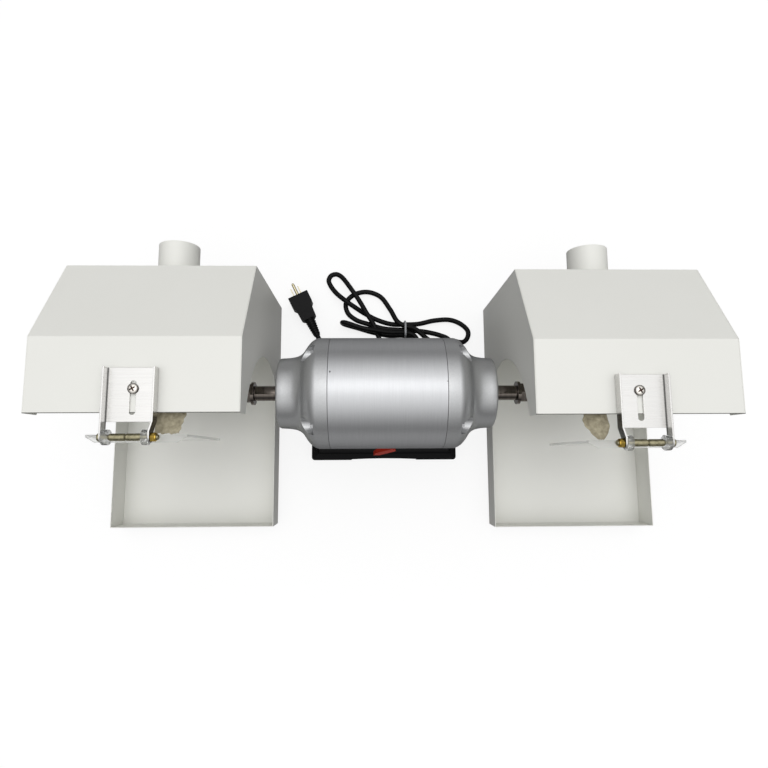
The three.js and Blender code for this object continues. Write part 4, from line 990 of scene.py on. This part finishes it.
# %% Hinge bolts
pin_height = 286.8
pin_y = {"left": -61.6, "right": -70.9}
fine_pitch = 0.8
thread_radius = 2.85
thread_outer, thread_inner = -34.1, -26.6
bolt_outline = [(-34.75, 0), (-34.75, 2.4), (-34.1, 3.0), (29.55, 3.0), (29.55, 5.0), (31.3, 5.0),
                (32.6, 4.0), (33.05, 0)]
for side, sign in side_sign.items():
    body = f"{side}_bracket"
    spot = (sign * hood_middle, pin_y[side], pin_height)
    bolt = turned(f"{side}_hinge_bolt", [(sign * x, radius) for x, radius in bolt_outline], spot,
                  steps=40, edge=0.2)
    ridge = thread(f"{side}_hinge_thread", spot, sign * thread_outer, sign * thread_inner,
                   thread_radius, thread_radius, fine_pitch)
    bolt = join([bolt, ridge])
    fit(bolt, body, "yellow_zinc", metals["dulled_yellow_zinc"], f"{side}_hinge_pin")
    nut = copy_of(f"{side}_pin_nut", f"{side}_pin_nut_plated")
    soften(nut, 0.5, sharper_than=40)
    fit(nut, body, "yellow_zinc", metals["yellow_zinc"], f"{side}_pin_nut")

# %% [markdown]
# ## Spacer sleeves
# Two sleeves on each bolt keep the visor's ears apart. Their ends are chamfered, so that a dark
# groove shows where they meet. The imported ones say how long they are.

# %% Spacer sleeves
sleeve_bore = 3.3
end_radius = 3.4
sleeve_radius = 4.2
sleeve_chamfer = 1.2
for side, sign in side_sign.items():
    spot = (sign * hood_middle, pin_y[side], pin_height)
    for place_name in ("inner", "outer"):
        node = f"{side}_{place_name}_spacer"
        lowest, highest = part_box(node)
        start = lowest.x / mm - spot[0]
        end = highest.x / mm - spot[0]
        sleeve = turned(f"{node}_plated", [
            (start, sleeve_bore), (start, end_radius), (start + sleeve_chamfer, sleeve_radius),
            (end - sleeve_chamfer, sleeve_radius), (end, end_radius), (end, sleeve_bore)],
            spot, steps=40, edge=0.15)
        fit(sleeve, f"{side}_bracket", "yellow_zinc", metals["dulled_yellow_zinc"], node)

# %% [markdown]
# ## Visors
# A visor is a sheet of cast acrylic that hangs straight down before the wheel, so from above
# mostly its sawn edges show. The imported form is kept, with its edges barely broken.

# %% Visors
for side in side_sign:
    sheet = copy_of(f"{side}_visor", f"{side}_visor_acrylic")
    soften(sheet, 0.3, sharper_than=35)
    fit(sheet, f"{side}_visor_body", "clear_acrylic", clear_acrylic, f"{side}_visor")

# %% [markdown]
# ## Backing paper
# A torn flap of the protective paper still clings behind each visor's upper inner corner and
# reaches under the roof. Its outline is given row by row: how far back, then its two ends. A
# grid of small faces is laid between the rows, and waves crease it and fray its edges. The
# left one is mirrored, which turns its faces over, so they are turned back before it gets its
# thickness.

# %% Backing paper
paper_rows = {
    "left": [(-57.4, 238, 266), (-45, 235, 266), (-33.4, 232, 266.5), (-25, 231, 266)],
    "right": [(-66.7, 240, 246.6), (-63.6, 236.9, 249.7), (-58.6, 233.1, 253.4),
              (-50.6, 226.9, 256.6), (-45.9, 225.1, 256.1), (-39.1, 227, 255.1),
              (-30, 228.5, 254.5)],
}
paper_top = 276
paper_fall = 9
paper_thick = 0.2


def row_at(rows, y):
    for (y_a, near_a, far_a), (y_b, near_b, far_b) in zip(rows, rows[1:]):
        if y <= y_b:
            share = max(0.0, (y - y_a) / (y_b - y_a))
            return near_a + (near_b - near_a) * share, far_a + (far_b - far_a) * share
    return rows[-1][1:]


for side, sign in side_sign.items():
    bpy.ops.mesh.primitive_grid_add(x_subdivisions=24, y_subdivisions=20, size=1)
    paper = bpy.context.view_layer.objects.active
    paper.name = f"{side}_backing_paper"
    rows = paper_rows[side]
    for corner in paper.data.vertices:
        across, back = corner.co.x + 0.5, corner.co.y + 0.5
        y = rows[0][0] + (rows[-1][0] - rows[0][0]) * back
        near_x, far_x = row_at(rows, y)
        crease = 1.3 * math.sin(across * 9 + back * 4) + 0.7 * math.sin(back * 17 - across * 6)
        side_fray = 0.6 * math.sin(back * 27) * (1 - across)
        front_fray = (0.7 * math.sin(across * 17) + 0.4 * math.sin(across * 35)) * (1 - back)
        x = near_x + (far_x - near_x) * across + side_fray
        z = paper_top - paper_fall * back ** 1.3 + crease * back * 0.6
        corner.co = at(sign * x, y + front_fray, z)
    if sign < 0:
        only(paper)
        bpy.ops.object.mode_set(mode="EDIT")
        bpy.ops.mesh.select_all(action="SELECT")
        bpy.ops.mesh.flip_normals()
        bpy.ops.object.mode_set(mode="OBJECT")
    thick = paper.modifiers.new("thickness", "SOLIDIFY")
    thick.thickness = paper_thick * mm
    apply_modifiers(paper)
    bpy.ops.object.shade_smooth_by_angle(angle=math.radians(40))
    fit(paper, f"{side}_visor_body", "clear_acrylic", plastics["kraft_paper"])

# %% [markdown]
# ## Inner pieces
# What sits inside the motor and the base never shows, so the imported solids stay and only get
# the finish of the real ones: laminated steel, copper, plated steel and cream plastic.

# %% Finishes of the inner pieces
inner_finishes = {
    "base_bottom_plate": metals["zinc_plate"], "stator_core": metals["electrical_steel"],
    "rotor_core": metals["electrical_steel"], "left_winding_head": metals["enamelled_copper"],
    "right_winding_head": metals["enamelled_copper"], "left_bearing": metals["zinc_plate"],
    "right_bearing": metals["zinc_plate"], "run_capacitor": metals["zinc_plate"],
    "switch_body": plastics["cream_moulding"],
}
for number in range(1, 5):
    inner_finishes[f"tie_bolt_{number}"] = metals["bright_zinc"]
for node, material in inner_finishes.items():
    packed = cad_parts[node]
    packed.data.materials.clear()
    packed.data.materials.append(material)
print("inner pieces:", len(inner_finishes))

# %% [markdown]
# ## Floor
# The floor is grey paint that rays from the camera and through glass see lit from within as
# well, so that it reads white, while the object's soft shadow still shows. Reflections see a
# quarter of that glow, as if on a duller bench, so metal keeps its dark undersides.

# %% Floor
floor_level = -0.3 * mm
metal_share = 0.25
paint_grey = (0.22, 0.22, 0.22, 1)
glow_strength = 0.81
bpy.ops.mesh.primitive_plane_add(size=30, location=(0, 0, floor_level))
floor = bpy.context.view_layer.objects.active
floor.name = "studio_floor"
floor_white = bpy.data.materials.new("matt_white_floor")
floor_white.use_nodes = True
floor_white.node_tree.nodes.clear()
rays = add_node(floor_white, "ShaderNodeLightPath")
in_metal = add_node(floor_white, "ShaderNodeMath",
                    {0: rays.outputs["Is Glossy Ray"], 1: metal_share}, operation="MULTIPLY")
seen = add_node(floor_white, "ShaderNodeMath", {0: rays.outputs["Is Camera Ray"], 1: in_metal},
                operation="MAXIMUM")
seen_all = add_node(floor_white, "ShaderNodeMath",
                    {0: seen, 1: rays.outputs["Is Transmission Ray"]}, operation="MAXIMUM")
paint = add_node(floor_white, "ShaderNodeBsdfDiffuse", {"Color": paint_grey})
glow = add_node(floor_white, "ShaderNodeEmission",
                {"Color": (1, 1, 1, 1), "Strength": glow_strength})
lit = add_node(floor_white, "ShaderNodeAddShader", {0: paint, 1: glow})
chosen = add_node(floor_white, "ShaderNodeMixShader", {0: seen_all, 1: paint, 2: lit})
add_node(floor_white, "ShaderNodeOutputMaterial", {"Surface": chosen})
floor.data.materials.append(floor_white)
print("floor, m:", [round(v, 3) for v in floor.dimensions])

# %% [markdown]
# ## Lamp
# A soft lamp hangs overhead, a little behind the motor, and gives the barrel its bright line.
# It is weak, because most of the light comes from the air around.

# %% Lamp
lamp_data = bpy.data.lights.new("overhead_softbox", "AREA")
lamp_data.shape = "RECTANGLE"
lamp_data.size = 1.0
lamp_data.size_y = 0.7
lamp_data.energy = 2
lamp = bpy.data.objects.new("overhead_softbox", lamp_data)
scene.collection.objects.link(lamp)
lamp.location = (0, 0.27, 1.9)
lamp.rotation_euler = (math.radians(-8), 0, 0)
print("lamp, W:", lamp_data.energy)

# %% [markdown]
# ## World
# The world is a wide soft dome, brightest overhead and dim at the horizon, as under a white
# ceiling, so that flat tops are bright and upright sides fall off. A little more comes from the
# back than from the front, and less along the spindles, where the walls are further away.
# The camera itself sees plain white behind the object.

# %% World
dome_power = 1.7
side_loss = 0.5
back_gain = 0.2
dome_strength = 1.65
horizon_strength = 0.06
world = bpy.data.worlds.new("studio_air")
scene.world = world
world.use_nodes = True
world.node_tree.nodes.clear()
rays = add_node(world, "ShaderNodeLightPath")
direction = add_node(world, "ShaderNodeTexCoord")
ray = add_node(world, "ShaderNodeSeparateXYZ", {0: direction.outputs["Generated"]})
above = add_node(world, "ShaderNodeMath", {0: ray.outputs["Z"], 1: 0.0}, operation="MAXIMUM")
rounded = add_node(world, "ShaderNodeMath", {0: above, 1: dome_power}, operation="POWER")
sideways = add_node(world, "ShaderNodeMath", {0: ray.outputs["X"], 1: ray.outputs["X"]},
                    operation="MULTIPLY")
fewer = add_node(world, "ShaderNodeMath", {0: sideways, 1: -side_loss, 2: 1.0},
                 operation="MULTIPLY_ADD")
more = add_node(world, "ShaderNodeMath", {0: ray.outputs["Y"], 1: back_gain, 2: 1.0},
                operation="MULTIPLY_ADD")
shaped = add_node(world, "ShaderNodeMath", {0: rounded, 1: fewer}, operation="MULTIPLY")
leaning = add_node(world, "ShaderNodeMath", {0: shaped, 1: more}, operation="MULTIPLY")
dome = add_node(world, "ShaderNodeMath",
                {0: leaning, 1: dome_strength, 2: horizon_strength}, operation="MULTIPLY_ADD")
air = add_node(world, "ShaderNodeBackground", {"Color": (1, 1, 1, 1), "Strength": dome})
white = add_node(world, "ShaderNodeBackground", {"Color": (1, 1, 1, 1), "Strength": 1.0})
chosen = add_node(world, "ShaderNodeMixShader", {0: rays.outputs["Is Camera Ray"],
                                                 1: air, 2: white})
add_node(world, "ShaderNodeOutputWorld", {"Surface": chosen})
scene.view_settings.view_transform = "Standard"
print("world:", world.name)
